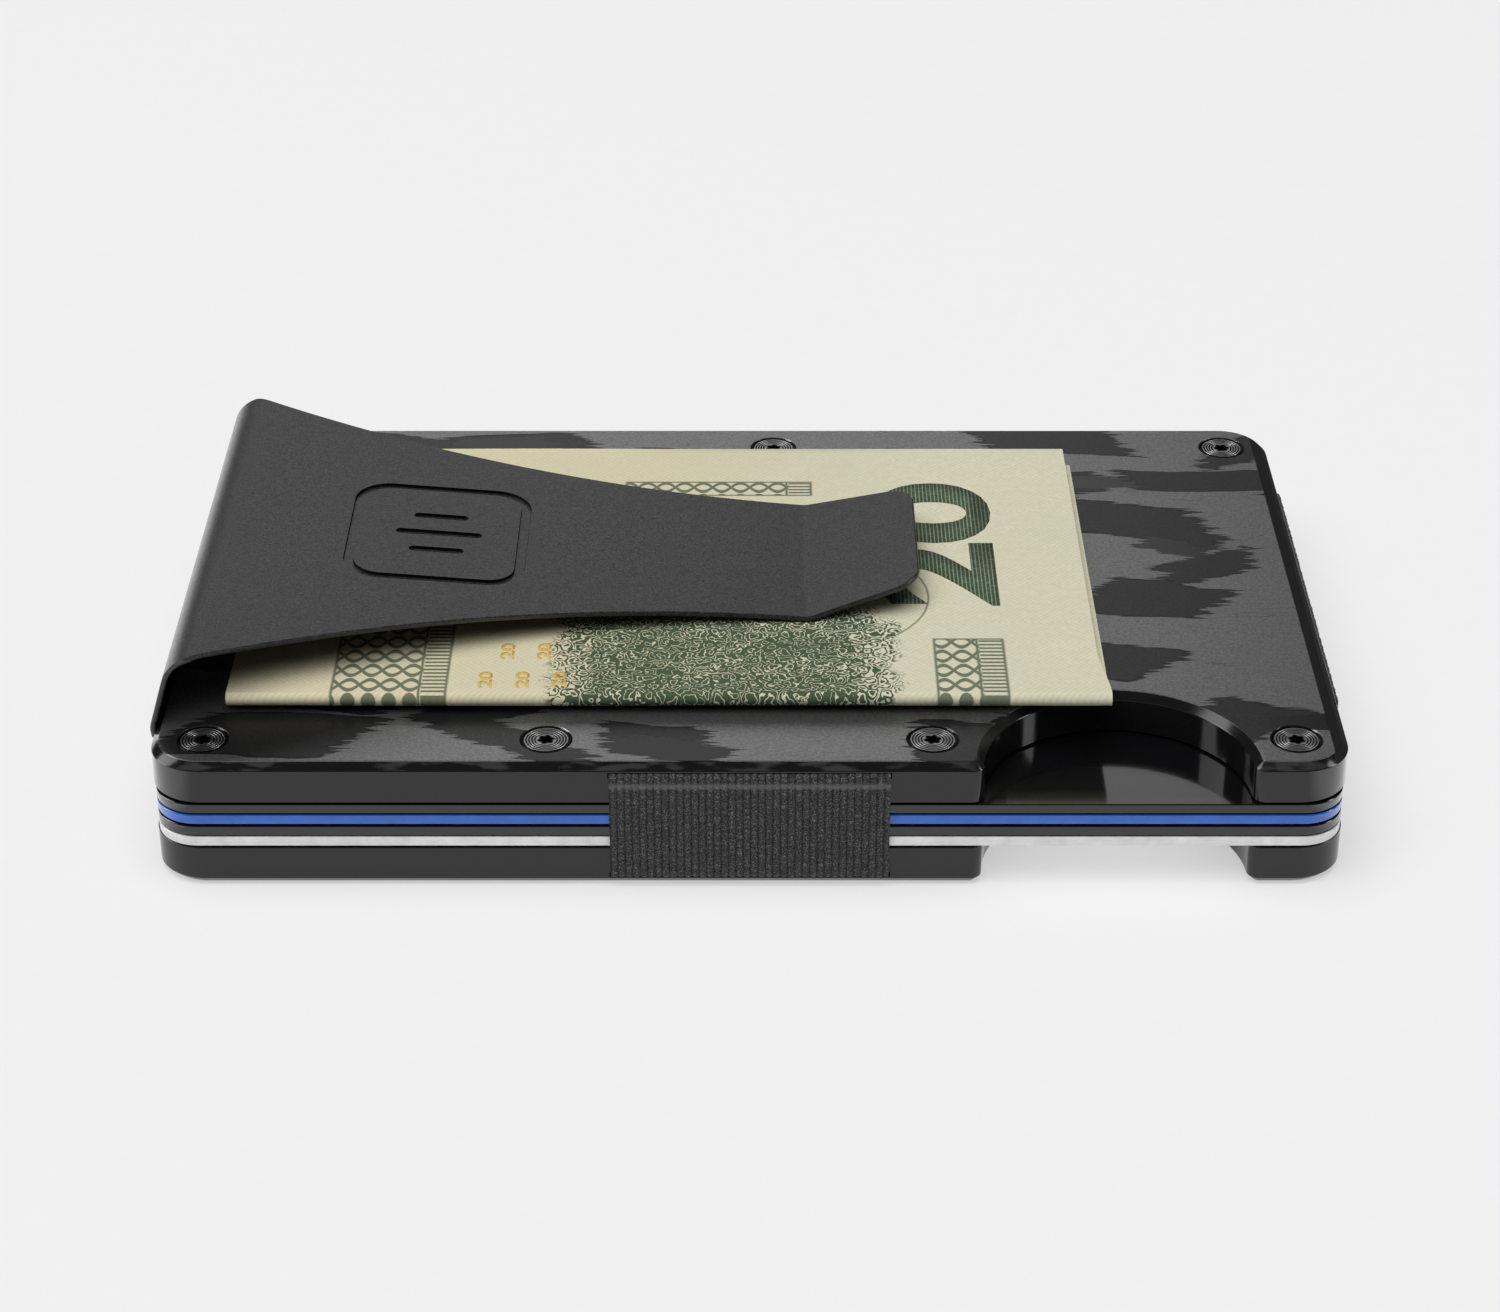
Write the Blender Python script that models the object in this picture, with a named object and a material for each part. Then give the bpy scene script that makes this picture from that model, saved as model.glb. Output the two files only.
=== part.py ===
"""Minimalist card wallet: two screwed metal plates, elastic bands, a money clip, four cards and a folded note.

Frame: origin at the centre of the bottom plate's outer face, +Z up through the plates,
+X towards the end that has the thumb notch, -Y towards the long edge that the notch is cut in.
Each half of the wallet is modelled by depth below its own outer face.
"""

import math

import bmesh
import bpy
from mathutils import Vector

MM = 0.001

# Plates
PLATE_LENGTH = 86.0 * MM
PLATE_WIDTH = 54.0 * MM
PLATE_HEIGHT = 3.16 * MM
PLATE_CORNER = 3.8 * MM
PLATE_CHAMFER = 0.56 * MM
SKIN = 1.0 * MM
RIM = 1.5 * MM

# Thumb notch, in the front long edge of both plates
NOTCH_X = 26.35 * MM
NOTCH_CENTRE_FROM_EDGE = 0.4 * MM
NOTCH_RADIUS = 9.6 * MM
NOTCH_MOUTH_RADIUS = 0.9 * MM

# Inner plates, which close the trays
INNER_CLEARANCE = 0.05 * MM
INNER_FROM = 1.06 * MM
INNER_TO = 3.10 * MM

# Screws, at the same places in both plates, measured from the front edge
SCREW_FRONT = 3.56 * MM
SCREW_BACK = 50.28 * MM
SCREW_END_X = 39.24 * MM
SCREW_FRONT_LEFT_X = -14.61 * MM
SCREW_FRONT_RIGHT_X = 13.13 * MM
SCREW_BACK_MIDDLE_X = 1.97 * MM
SCREW_HEAD_RADIUS = 1.82 * MM
SCREW_SHANK_RADIUS = 0.95 * MM
SCREW_TIP_RADIUS = 0.75 * MM
SCREW_LENGTH = 2.85 * MM
SCREW_SUNK = 0.03 * MM
SCREW_DRIVE_RADIUS = 0.56 * MM
SCREW_DRIVE_LOBE = 0.11 * MM
SCREW_DRIVE_DEPTH = 0.45 * MM
SCREW_CLEARANCE = 0.06 * MM
SCREW_BOSS_RADIUS = 2.3 * MM

# Cards, of the standard card size
CARD_LENGTH = 85.6 * MM
CARD_WIDTH = 53.98 * MM
CARD_THICKNESS = 0.76 * MM
CARD_CORNER = 3.18 * MM
CARD_GAP = 0.16 * MM

# Elastic bands, one folded over each of three edges
BAND_THICKNESS = 0.34 * MM
BAND_STANDOFF = 0.04 * MM
BAND_DEPTH = 0.70 * MM
BAND_FOLD_RADIUS = 0.3 * MM
BAND_FOOT = 9.0 * MM
BAND_SLOT_FROM = 0.66 * MM
BAND_SLOT_TO = 1.14 * MM
BAND_SLOT_SPARE = 0.12 * MM
FRONT_BAND_WIDTH = 20.0 * MM
WIDE_BAND_WIDTH = 33.0 * MM
BACK_BAND_X = -18.6 * MM

# Money clip, a bent sheet: heights are above the top plate's face, and places are of its outer side
CLIP_THICKNESS = 0.4 * MM
CLIP_FOOT_END_X = -35.5 * MM
CLIP_WALL_X = -43.38 * MM
CLIP_BOTTOM = -2.1 * MM
CLIP_LEAN_FROM = -0.25 * MM
CLIP_BEND_X = -41.6 * MM
CLIP_BEND_HEIGHT = 5.74 * MM
CLIP_CONTACT_X = 4.4 * MM
CLIP_CONTACT_HEIGHT = 1.99 * MM
CLIP_TIP_X = 12.75 * MM
CLIP_TIP_HEIGHT = 4.35 * MM
CLIP_FOOT_RADIUS = 0.7 * MM
CLIP_LEAN_RADIUS = 3.0 * MM
CLIP_BEND_RADIUS = 2.8 * MM
CLIP_CONTACT_RADIUS = 1.6 * MM
CLIP_ROOT_HALF = 21.4 * MM
CLIP_CONTACT_HALF = 9.13 * MM
CLIP_TIP_HALF = 7.6 * MM
CLIP_CORNER = 2.0 * MM
CLIP_TAPER_X = -40.3 * MM
CLIP_HINGE_HEIGHT = 0.95 * MM
CLIP_SPLIT_GAP = 0.1 * MM
CLIP_PASSAGE_HALF = 19.4 * MM
CLIP_EAR_FROM_X = -41.3 * MM
CLIP_EAR_HALF = 24.9 * MM
CLIP_EAR_CORNER = 1.6 * MM

# What the top plates leave open for the clip
RECESS_SPARE = 0.5 * MM
RECESS_DEPTH = 0.16 * MM
PASSAGE_SPARE = 0.6 * MM
PASSAGE_FROM = 1.62 * MM
PASSAGE_TO_X = -41.2 * MM
STEP_TO_X = -35.2 * MM
STEP_DEPTH = 2.16 * MM
TONGUE_X = -42.86 * MM
TONGUE_FROM = 2.2 * MM

# Folded note under the clip
NOTE_LEFT = -38.0 * MM
NOTE_RIGHT = 26.3 * MM
NOTE_FRONT = 6.9 * MM
NOTE_BACK = 47.2 * MM
NOTE_BOTTOM = 0.12 * MM
NOTE_TOP = 1.53 * MM

# How finely round shapes are divided
CORNER_SEGMENTS = 8
NOTCH_SEGMENTS = 36
BEND_SEGMENTS = 8
ROUND_SEGMENTS = 24

# Worked out from the sizes above
CARD_COLOURS = {
    "card_1": (0.02, 0.02, 0.02),
    "card_2": (0.08, 0.16, 0.45),
    "card_3": (0.02, 0.02, 0.02),
    "card_4": (0.62, 0.62, 0.60),
}
CARD_PITCH = CARD_THICKNESS + CARD_GAP
STACK_HEIGHT = len(CARD_COLOURS) * CARD_PITCH + CARD_GAP
TOTAL_HEIGHT = 2 * PLATE_HEIGHT + STACK_HEIGHT
HALF_LENGTH = PLATE_LENGTH / 2
HALF_WIDTH = PLATE_WIDTH / 2
OVERSHOOT = 1.0 * MM
TINY = 0.002 * MM
SCREW_PLACES = (
    (-SCREW_END_X, SCREW_FRONT),
    (SCREW_FRONT_LEFT_X, SCREW_FRONT),
    (SCREW_FRONT_RIGHT_X, SCREW_FRONT),
    (SCREW_END_X, SCREW_FRONT),
    (-SCREW_END_X, SCREW_BACK),
    (SCREW_BACK_MIDDLE_X, SCREW_BACK),
    (SCREW_END_X, SCREW_BACK),
)


# ---------------------------------------------------------------- materials


def material(name, colour, roughness, metallic=0.0):
    made = bpy.data.materials.new(name)
    made.use_nodes = True
    made.diffuse_color = (*colour, 1.0)
    shader = made.node_tree.nodes["Principled BSDF"]
    shader.inputs["Base Color"].default_value = (*colour, 1.0)
    shader.inputs["Roughness"].default_value = roughness
    shader.inputs["Metallic"].default_value = metallic
    return made


# ---------------------------------------------------------------- outlines


def arc(centre, radius, start, end, segments):
    """Points on an arc from start to end, in degrees, both ends included."""
    points = []
    for i in range(segments + 1):
        angle = math.radians(start + (end - start) * i / segments)
        points.append(Vector((centre[0] + radius * math.cos(angle), centre[1] + radius * math.sin(angle))))
    return points


def rounded_rectangle(length, width, radius):
    """A rectangle centred on the origin, anticlockwise from its front left corner."""
    points = []
    for start, side_x, side_y in ((180, -1, -1), (270, 1, -1), (0, 1, 1), (90, -1, 1)):
        centre = (side_x * (length / 2 - radius), side_y * (width / 2 - radius))
        points += arc(centre, radius, start, start + 90, CORNER_SEGMENTS)
    return points


def notch_outline(front, radius, mouth):
    """The thumb notch's edge from left to right. A mouth radius rounds it into the front edge."""
    centre = (NOTCH_X, -HALF_WIDTH + NOTCH_CENTRE_FROM_EDGE)
    rise = front + max(mouth, 0.0) - centre[1]
    if mouth <= 0:
        tilt = math.degrees(math.asin(rise / radius))
        return arc(centre, radius, 180 - tilt, tilt, NOTCH_SEGMENTS)
    reach = math.sqrt((radius + mouth) ** 2 - rise**2)
    tilt = math.degrees(math.atan2(rise, reach))
    left = arc((NOTCH_X - reach, front + mouth), mouth, -90, -tilt, CORNER_SEGMENTS)
    right = arc((NOTCH_X + reach, front + mouth), mouth, 180 + tilt, 270, CORNER_SEGMENTS)
    return left + arc(centre, radius, 180 - tilt, tilt, NOTCH_SEGMENTS)[1:-1] + right


def plate_outline(inset=0.0):
    """The plate's outline with its thumb notch, moved inwards by inset."""
    corners = rounded_rectangle(PLATE_LENGTH - 2 * inset, PLATE_WIDTH - 2 * inset, PLATE_CORNER - inset)
    notch = notch_outline(-HALF_WIDTH + inset, NOTCH_RADIUS + inset, NOTCH_MOUTH_RADIUS - inset)
    return corners[: CORNER_SEGMENTS + 1] + notch + corners[CORNER_SEGMENTS + 1 :]


def circle(radius, centre=(0.0, 0.0), lobe=0.0):
    """A circle. A lobe turns it into the six-lobed outline of a screw's drive."""
    points = []
    for i in range(ROUND_SEGMENTS):
        angle = math.tau * i / ROUND_SEGMENTS
        reach = radius + lobe * math.cos(6 * angle)
        points.append(Vector((centre[0] + reach * math.cos(angle), centre[1] + reach * math.sin(angle))))
    return points


def bent_path(corners, radii):
    """A line through corners, with each inner corner rounded. Returns its points and the normals on its right."""
    points = []
    normals = []

    def add(point, direction):
        points.append(point)
        normals.append(Vector((direction.y, -direction.x)))

    add(corners[0], (corners[1] - corners[0]).normalized())
    for before, corner, after, radius in zip(corners, corners[1:], corners[2:], radii, strict=False):
        arriving = (corner - before).normalized()
        leaving = (after - corner).normalized()
        turn = arriving.angle_signed(leaving)
        centre_side = Vector((arriving.y, -arriving.x)) * math.copysign(1.0, turn)
        start = corner - arriving * radius * math.tan(abs(turn) / 2)
        centre = start + centre_side * radius
        for i in range(BEND_SEGMENTS + 1):
            angle = -turn * i / BEND_SEGMENTS
            direction = Vector((math.cos(angle), math.sin(angle)))
            spoke = start - centre
            turned = Vector(
                (
                    spoke.x * direction.x - spoke.y * direction.y,
                    spoke.x * direction.y + spoke.y * direction.x,
                )
            )
            heading = Vector(
                (
                    arriving.x * direction.x - arriving.y * direction.y,
                    arriving.x * direction.y + arriving.y * direction.x,
                )
            )
            add(centre + turned, heading)
    add(corners[-1], (corners[-1] - corners[-2]).normalized())
    return points, normals


# ---------------------------------------------------------------- solids


def new_object(name, mesh_data, parent, look=None):
    """An object under parent. One with no look is a cutter or a filler, which isn't part of the wallet."""
    bmesh.ops.recalc_face_normals(mesh_data, faces=mesh_data.faces)
    mesh = bpy.data.meshes.new(name)
    mesh_data.to_mesh(mesh)
    mesh_data.free()
    made = bpy.data.objects.new(name, mesh)
    bpy.context.scene.collection.objects.link(made)
    made.parent = parent
    if look is None:
        made.hide_render = True
        made.display_type = "WIRE"
    else:
        mesh.materials.append(look)
    return made


def add_loft(mesh_data, rings):
    """Adds a closed body that joins rings of (outline, height), all with the same number of points."""
    loops = []
    for outline, height in rings:
        loops.append([mesh_data.verts.new((point.x, point.y, height)) for point in outline])
    count = len(loops[0])
    for low, high in zip(loops, loops[1:]):
        for i in range(count):
            mesh_data.faces.new((low[i], low[(i + 1) % count], high[(i + 1) % count], high[i]))
    mesh_data.faces.new(loops[0])
    mesh_data.faces.new(loops[-1])


def add_box(mesh_data, low, high):
    """Adds a box from its low corner to its high corner."""
    made = bmesh.ops.create_cube(mesh_data, size=1.0)["verts"]
    size = Vector(high) - Vector(low)
    bmesh.ops.scale(mesh_data, vec=size, verts=made)
    bmesh.ops.translate(mesh_data, vec=(Vector(high) + Vector(low)) / 2, verts=made)


def loft(name, rings, parent, look=None):
    mesh_data = bmesh.new()
    add_loft(mesh_data, rings)
    return new_object(name, mesh_data, parent, look)


def extrusion(name, outline, width, parent, look):
    """A closed outline in X and Z, extruded to a width centred on Y = 0."""
    mesh_data = bmesh.new()
    corners = [mesh_data.verts.new((point.x, -width / 2, point.y)) for point in outline]
    face = mesh_data.faces.new(corners)
    grown = bmesh.ops.extrude_face_region(mesh_data, geom=[face])["geom"]
    moved = [item for item in grown if isinstance(item, bmesh.types.BMVert)]
    bmesh.ops.translate(mesh_data, vec=(0.0, width, 0.0), verts=moved)
    return new_object(name, mesh_data, parent, look)


def combine(target, operation, other):
    modifier = target.modifiers.new(f"{operation.title()} {other.name}", "BOOLEAN")
    modifier.operation = operation
    modifier.solver = "EXACT"
    modifier.object = other


def empty(name, location):
    made = bpy.data.objects.new(name, None)
    made.location = location
    bpy.context.scene.collection.objects.link(made)
    return made


# ---------------------------------------------------------------- plates


def screw_centres():
    return [(x, y - HALF_WIDTH) for x, y in SCREW_PLACES]


def screw_holes(side, down):
    """Countersinks and shank holes for all screws of one half."""
    head = SCREW_HEAD_RADIUS + SCREW_CLEARANCE
    shank = SCREW_SHANK_RADIUS + SCREW_CLEARANCE
    cone = SCREW_HEAD_RADIUS - SCREW_SHANK_RADIUS
    mesh_data = bmesh.new()
    for centre in screw_centres():
        rings = [
            (circle(head, centre), -down * OVERSHOOT),
            (circle(head, centre), down * SCREW_SUNK),
            (circle(shank, centre), down * (SCREW_SUNK + cone)),
            (circle(shank, centre), down * (PLATE_HEIGHT + OVERSHOOT)),
        ]
        add_loft(mesh_data, rings)
    return new_object(f"{side.name}_screw_holes", mesh_data, side)


def band_slots(side, down):
    """Slots through the rim, and channels under the skin, for the three bands."""
    depths = sorted((down * BAND_SLOT_FROM, down * BAND_SLOT_TO))
    reach = BAND_FOOT + RECESS_SPARE
    front_half = FRONT_BAND_WIDTH / 2 + BAND_SLOT_SPARE
    wide_half = WIDE_BAND_WIDTH / 2 + BAND_SLOT_SPARE
    spans = (
        ((-front_half, -HALF_WIDTH - OVERSHOOT), (front_half, -HALF_WIDTH + reach)),
        ((HALF_LENGTH - reach, -wide_half), (HALF_LENGTH + OVERSHOOT, wide_half)),
        ((BACK_BAND_X - wide_half, HALF_WIDTH - reach), (BACK_BAND_X + wide_half, HALF_WIDTH + OVERSHOOT)),
    )
    mesh_data = bmesh.new()
    for low, high in spans:
        add_box(mesh_data, (*low, depths[0]), (*high, depths[1]))
    return new_object(f"{side.name}_band_slots", mesh_data, side)


def outer_plate(side, down, look):
    """A tray: a chamfered skin with a rim all round, notch included."""
    name = f"{side.name}_outer_plate"
    rings = [
        (plate_outline(PLATE_CHAMFER), 0.0),
        (plate_outline(), down * PLATE_CHAMFER),
        (plate_outline(), down * PLATE_HEIGHT),
    ]
    pocket_rings = [
        (plate_outline(RIM), down * SKIN),
        (plate_outline(RIM), down * (PLATE_HEIGHT + OVERSHOOT)),
    ]
    plate = loft(name, rings, side, look)
    combine(plate, "DIFFERENCE", loft(f"{name}_pocket", pocket_rings, side))
    return plate


def inner_plate(side, down, look):
    """The liner that closes the tray."""
    outline = plate_outline(RIM + INNER_CLEARANCE)
    rings = [(outline, down * INNER_FROM), (outline, down * INNER_TO)]
    return loft(f"{side.name}_inner_plate", rings, side, look)


def clip_bosses(side):
    """Bosses under the skin that hold the clip's foot down round its two screws."""
    mesh_data = bmesh.new()
    for centre in screw_centres():
        if centre[0] == -SCREW_END_X:
            rings = [
                (circle(SCREW_BOSS_RADIUS, centre), -SKIN / 2),
                (circle(SCREW_BOSS_RADIUS, centre), -PASSAGE_FROM),
            ]
            add_loft(mesh_data, rings)
    return new_object("top_clip_bosses", mesh_data, side)


def clip_recess(side):
    """The shallow recess in the top plate's left edge, which the clip's wall lies in."""
    half = CLIP_ROOT_HALF + RECESS_SPARE
    low = (-HALF_LENGTH - OVERSHOOT, -half, -STEP_DEPTH)
    high = (-HALF_LENGTH + RECESS_DEPTH, half, OVERSHOOT)
    mesh_data = bmesh.new()
    add_box(mesh_data, low, high)
    return new_object("top_clip_recess", mesh_data, side)


def clip_passage(side):
    """The way through the left rim for the clip's foot."""
    half = CLIP_PASSAGE_HALF + PASSAGE_SPARE
    low = (-HALF_LENGTH - OVERSHOOT, -half, -PLATE_HEIGHT - OVERSHOOT)
    high = (PASSAGE_TO_X, half, -PASSAGE_FROM)
    mesh_data = bmesh.new()
    add_box(mesh_data, low, high)
    return new_object("top_clip_passage", mesh_data, side)


def clip_step(side):
    """The room for the clip's foot on the top inner plate."""
    low = (-HALF_LENGTH, -HALF_WIDTH, -STEP_DEPTH)
    high = (STEP_TO_X, HALF_WIDTH, 0.0)
    mesh_data = bmesh.new()
    add_box(mesh_data, low, high)
    return new_object("top_clip_step", mesh_data, side)


def passage_tongue(side):
    """The tongue of the top inner plate that fills the passage below the clip's foot."""
    half = CLIP_PASSAGE_HALF + PASSAGE_SPARE - 2 * INNER_CLEARANCE
    mesh_data = bmesh.new()
    add_box(mesh_data, (TONGUE_X, -half, -INNER_TO), (PASSAGE_TO_X + RIM, half, -TONGUE_FROM))
    return new_object("top_passage_tongue", mesh_data, side)


def half_of_wallet(side, down, look):
    """Both plates of one half, with their holes. down is the direction from the outer face inwards."""
    outer = outer_plate(side, down, look)
    inner = inner_plate(side, down, look)
    if down < 0:
        combine(outer, "UNION", clip_bosses(side))
        combine(outer, "DIFFERENCE", clip_recess(side))
        combine(outer, "DIFFERENCE", clip_passage(side))
        combine(inner, "DIFFERENCE", clip_step(side))
        combine(inner, "UNION", passage_tongue(side))
    holes = screw_holes(side, down)
    combine(outer, "DIFFERENCE", band_slots(side, down))
    combine(outer, "DIFFERENCE", holes)
    combine(inner, "DIFFERENCE", holes)
    return holes


# ---------------------------------------------------------------- screws


def screw_mesh():
    """A countersunk screw with a six-lobe recess, its head's face at the origin."""
    cone = SCREW_HEAD_RADIUS - SCREW_SHANK_RADIUS
    chamfer = SCREW_SHANK_RADIUS - SCREW_TIP_RADIUS
    drive = circle(SCREW_DRIVE_RADIUS, lobe=SCREW_DRIVE_LOBE)
    rings = [
        (drive, -SCREW_DRIVE_DEPTH),
        (drive, -SCREW_SUNK),
        (circle(SCREW_HEAD_RADIUS), -SCREW_SUNK),
        (circle(SCREW_SHANK_RADIUS), -SCREW_SUNK - cone),
        (circle(SCREW_SHANK_RADIUS), -SCREW_LENGTH + chamfer),
        (circle(SCREW_TIP_RADIUS), -SCREW_LENGTH),
    ]
    mesh_data = bmesh.new()
    add_loft(mesh_data, rings)
    bmesh.ops.recalc_face_normals(mesh_data, faces=mesh_data.faces)
    mesh = bpy.data.meshes.new("countersunk_screw")
    mesh_data.to_mesh(mesh)
    mesh_data.free()
    mesh.shade_smooth()
    mesh.set_sharp_from_angle(angle=math.radians(30))
    return mesh


def screws(side, down, mesh):
    for number, centre in enumerate(screw_centres(), start=1):
        screw = bpy.data.objects.new(f"{side.name}_screw_{number}", mesh)
        bpy.context.scene.collection.objects.link(screw)
        screw.parent = side
        screw.location = (*centre, 0.0)
        if down > 0:
            screw.rotation_euler.x = math.pi


# ---------------------------------------------------------------- elastic


def elastic_band(name, width, place, turn, parent, look):
    """A band folded over one edge, with a foot clamped in each plate. Its local +X points out of that edge."""
    out = BAND_STANDOFF + BAND_THICKNESS
    corners = [
        Vector((-BAND_FOOT, BAND_DEPTH)),
        Vector((out, BAND_DEPTH)),
        Vector((out, TOTAL_HEIGHT - BAND_DEPTH)),
        Vector((-BAND_FOOT, TOTAL_HEIGHT - BAND_DEPTH)),
    ]
    radius = BAND_FOLD_RADIUS + BAND_THICKNESS / 2
    points, normals = bent_path(corners, (radius, radius))
    inner = [point - normal * BAND_THICKNESS for point, normal in zip(points, normals, strict=True)]
    band = extrusion(name, points + inner[::-1], width, parent, look)
    band.location = place
    band.rotation_euler.z = turn
    return band


# ---------------------------------------------------------------- money clip


def clip_lean_x(height):
    """Where the clip's leaning wall is at a height."""
    share = (height - CLIP_LEAN_FROM) / (CLIP_BEND_HEIGHT - CLIP_LEAN_FROM)
    return CLIP_WALL_X + (CLIP_BEND_X - CLIP_WALL_X) * share


def rounded_end(distance, half, radius):
    """Half the width at a distance from an end whose corners are rounded."""
    if distance >= radius:
        return half
    return half - radius + math.sqrt(radius**2 - (radius - distance) ** 2)


def foot_half_width(point):
    """Half the foot's and wall's width: two ears inside the plate, a narrower neck, then the wall."""
    if point.x > CLIP_EAR_FROM_X + TINY / 2:
        from_neck = rounded_end(point.x - CLIP_EAR_FROM_X, CLIP_EAR_HALF, CLIP_EAR_CORNER)
        from_end = rounded_end(CLIP_FOOT_END_X - point.x, CLIP_EAR_HALF, CLIP_EAR_CORNER)
        return min(from_neck, from_end)
    if point.y < CLIP_BOTTOM + TINY:
        return CLIP_PASSAGE_HALF
    return rounded_end(point.y - CLIP_BOTTOM, CLIP_ROOT_HALF, CLIP_CORNER)


def arm_half_width(point):
    """Half the arm's width: it narrows in a smooth hollow curve to the contact bend, then to the tip."""
    if point.x < CLIP_CONTACT_X:
        share = min(1.0, (CLIP_CONTACT_X - point.x) / (CLIP_CONTACT_X - CLIP_TAPER_X))
        return CLIP_CONTACT_HALF + (CLIP_ROOT_HALF - CLIP_CONTACT_HALF) * share**2
    share = (point.x - CLIP_CONTACT_X) / (CLIP_TIP_X - CLIP_CONTACT_X)
    half = CLIP_CONTACT_HALF + (CLIP_TIP_HALF - CLIP_CONTACT_HALF) * share
    return rounded_end(CLIP_TIP_X - point.x, half, CLIP_CORNER)


def sheet_strip(name, points, half_width, origin, parent, look):
    """Bent sheet metal: points are its outer side, in X and Z, and half_width gives its edges."""
    mesh_data = bmesh.new()
    pairs = []
    for point in points:
        half = half_width(point)
        place = (point.x - origin.x, point.y - origin.y)
        near = mesh_data.verts.new((place[0], -half, place[1]))
        far = mesh_data.verts.new((place[0], half, place[1]))
        pairs.append((near, far))
    for (near, far), (next_near, next_far) in zip(pairs, pairs[1:]):
        mesh_data.faces.new((near, next_near, next_far, far))
    mesh = bpy.data.meshes.new(name)
    mesh_data.to_mesh(mesh)
    mesh_data.free()
    mesh.materials.append(look)
    made = bpy.data.objects.new(name, mesh)
    bpy.context.scene.collection.objects.link(made)
    made.parent = parent
    made.location = (origin.x, 0.0, origin.y)
    wall = made.modifiers.new("Sheet thickness", "SOLIDIFY")
    wall.thickness = CLIP_THICKNESS
    wall.offset = -1.0
    wall.use_even_offset = True
    return made


def spread_between(start, end, count):
    """Points that divide the line from start to end, without either end."""
    return [start.lerp(end, i / count) for i in range(1, count)]


def ear_stations():
    """Where the foot's ears need points: their rounded ends and the neck."""
    height = CLIP_BOTTOM
    stations = [CLIP_FOOT_END_X]
    for i in range(1, CORNER_SEGMENTS // 2 + 1):
        angle = math.pi / 2 * i / (CORNER_SEGMENTS // 2)
        stations.append(CLIP_FOOT_END_X - CLIP_EAR_CORNER * (1 - math.cos(angle)))
    for i in range(CORNER_SEGMENTS // 2, -1, -1):
        angle = math.pi / 2 * i / (CORNER_SEGMENTS // 2)
        stations.append(CLIP_EAR_FROM_X + CLIP_EAR_CORNER * (1 - math.cos(angle)) + TINY)
    stations.append(CLIP_EAR_FROM_X)
    return [Vector((x, height)) for x in stations]


def money_clip(top, holes, look):
    """The clip in two pieces, split in the wall where it flexes."""
    hinge = Vector((clip_lean_x(CLIP_HINGE_HEIGHT) + CLIP_THICKNESS / 2, CLIP_HINGE_HEIGHT))
    split_low = CLIP_HINGE_HEIGHT - CLIP_SPLIT_GAP / 2
    split_high = CLIP_HINGE_HEIGHT + CLIP_SPLIT_GAP / 2
    foot_end = Vector((CLIP_EAR_FROM_X, CLIP_BOTTOM))
    foot_corner = Vector((CLIP_WALL_X, CLIP_BOTTOM))
    lean_corner = Vector((CLIP_WALL_X, CLIP_LEAN_FROM))
    bend_corner = Vector((CLIP_BEND_X, CLIP_BEND_HEIGHT))
    contact_corner = Vector((CLIP_CONTACT_X, CLIP_CONTACT_HEIGHT))
    tip = Vector((CLIP_TIP_X, CLIP_TIP_HEIGHT))
    split_below = Vector((clip_lean_x(split_low), split_low))
    split_above = Vector((clip_lean_x(split_high), split_high))

    base_corners = [foot_end, foot_corner, lean_corner, split_below]
    base_points, _ = bent_path(base_corners, (CLIP_FOOT_RADIUS, CLIP_LEAN_RADIUS))
    base_points = ear_stations() + base_points[1:]
    base = sheet_strip("clip_base", base_points, foot_half_width, Vector((0.0, 0.0)), top, look)
    combine(base, "DIFFERENCE", holes)

    arm_corners = [split_above, bend_corner, contact_corner, tip]
    arm_points, _ = bent_path(arm_corners, (CLIP_BEND_RADIUS, CLIP_CONTACT_RADIUS))
    bend_end = 1 + BEND_SEGMENTS
    taper = spread_between(arm_points[bend_end], arm_points[bend_end + 1], 2 * BEND_SEGMENTS)
    tip_stations = []
    for i in range(CORNER_SEGMENTS + 1):
        angle = math.pi / 2 * (1 - i / CORNER_SEGMENTS)
        distance = CLIP_CORNER * (1 - math.sin(math.pi / 2 - angle))
        tip_stations.append(tip.lerp(contact_corner, distance / (tip - contact_corner).length))
    arm_points = arm_points[: bend_end + 1] + taper + arm_points[bend_end + 1 : -1] + tip_stations
    pivot = empty("clip_hinge", (hinge.x, 0.0, hinge.y))
    pivot.parent = top
    arm = sheet_strip("clip_arm", arm_points, arm_half_width, hinge, pivot, look)
    arm.location = (0.0, 0.0, 0.0)
    return arm


# ---------------------------------------------------------------- contents


def cards(parent):
    """The stack of cards, counted from the top plate down."""
    outline = rounded_rectangle(CARD_LENGTH, CARD_WIDTH, CARD_CORNER)
    top_of_stack = TOTAL_HEIGHT - PLATE_HEIGHT
    for number, (name, colour) in enumerate(CARD_COLOURS.items()):
        upper = top_of_stack - CARD_GAP - number * CARD_PITCH
        rings = [(outline, -CARD_THICKNESS), (outline, 0.0)]
        card = loft(name, rings, parent, material(f"{name}_plastic", colour, 0.15))
        card.location.z = upper


def folded_note(parent, look):
    """The folded note's outer shape, with round folds at the front and the back."""
    radius = (NOTE_TOP - NOTE_BOTTOM) / 2
    middle = (NOTE_TOP + NOTE_BOTTOM) / 2
    front = (NOTE_FRONT + radius - HALF_WIDTH, middle)
    back = (NOTE_BACK - radius - HALF_WIDTH, middle)
    outline = arc(front, radius, 90, 270, CORNER_SEGMENTS) + arc(back, radius, -90, 90, CORNER_SEGMENTS)
    note = extrusion("folded_note", outline, NOTE_RIGHT - NOTE_LEFT, parent, look)
    note.rotation_euler.z = math.pi / 2
    note.location.x = (NOTE_LEFT + NOTE_RIGHT) / 2


# ---------------------------------------------------------------- assembly


def clear_scene():
    for old in list(bpy.data.objects):
        bpy.data.objects.remove(old, do_unlink=True)


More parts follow.
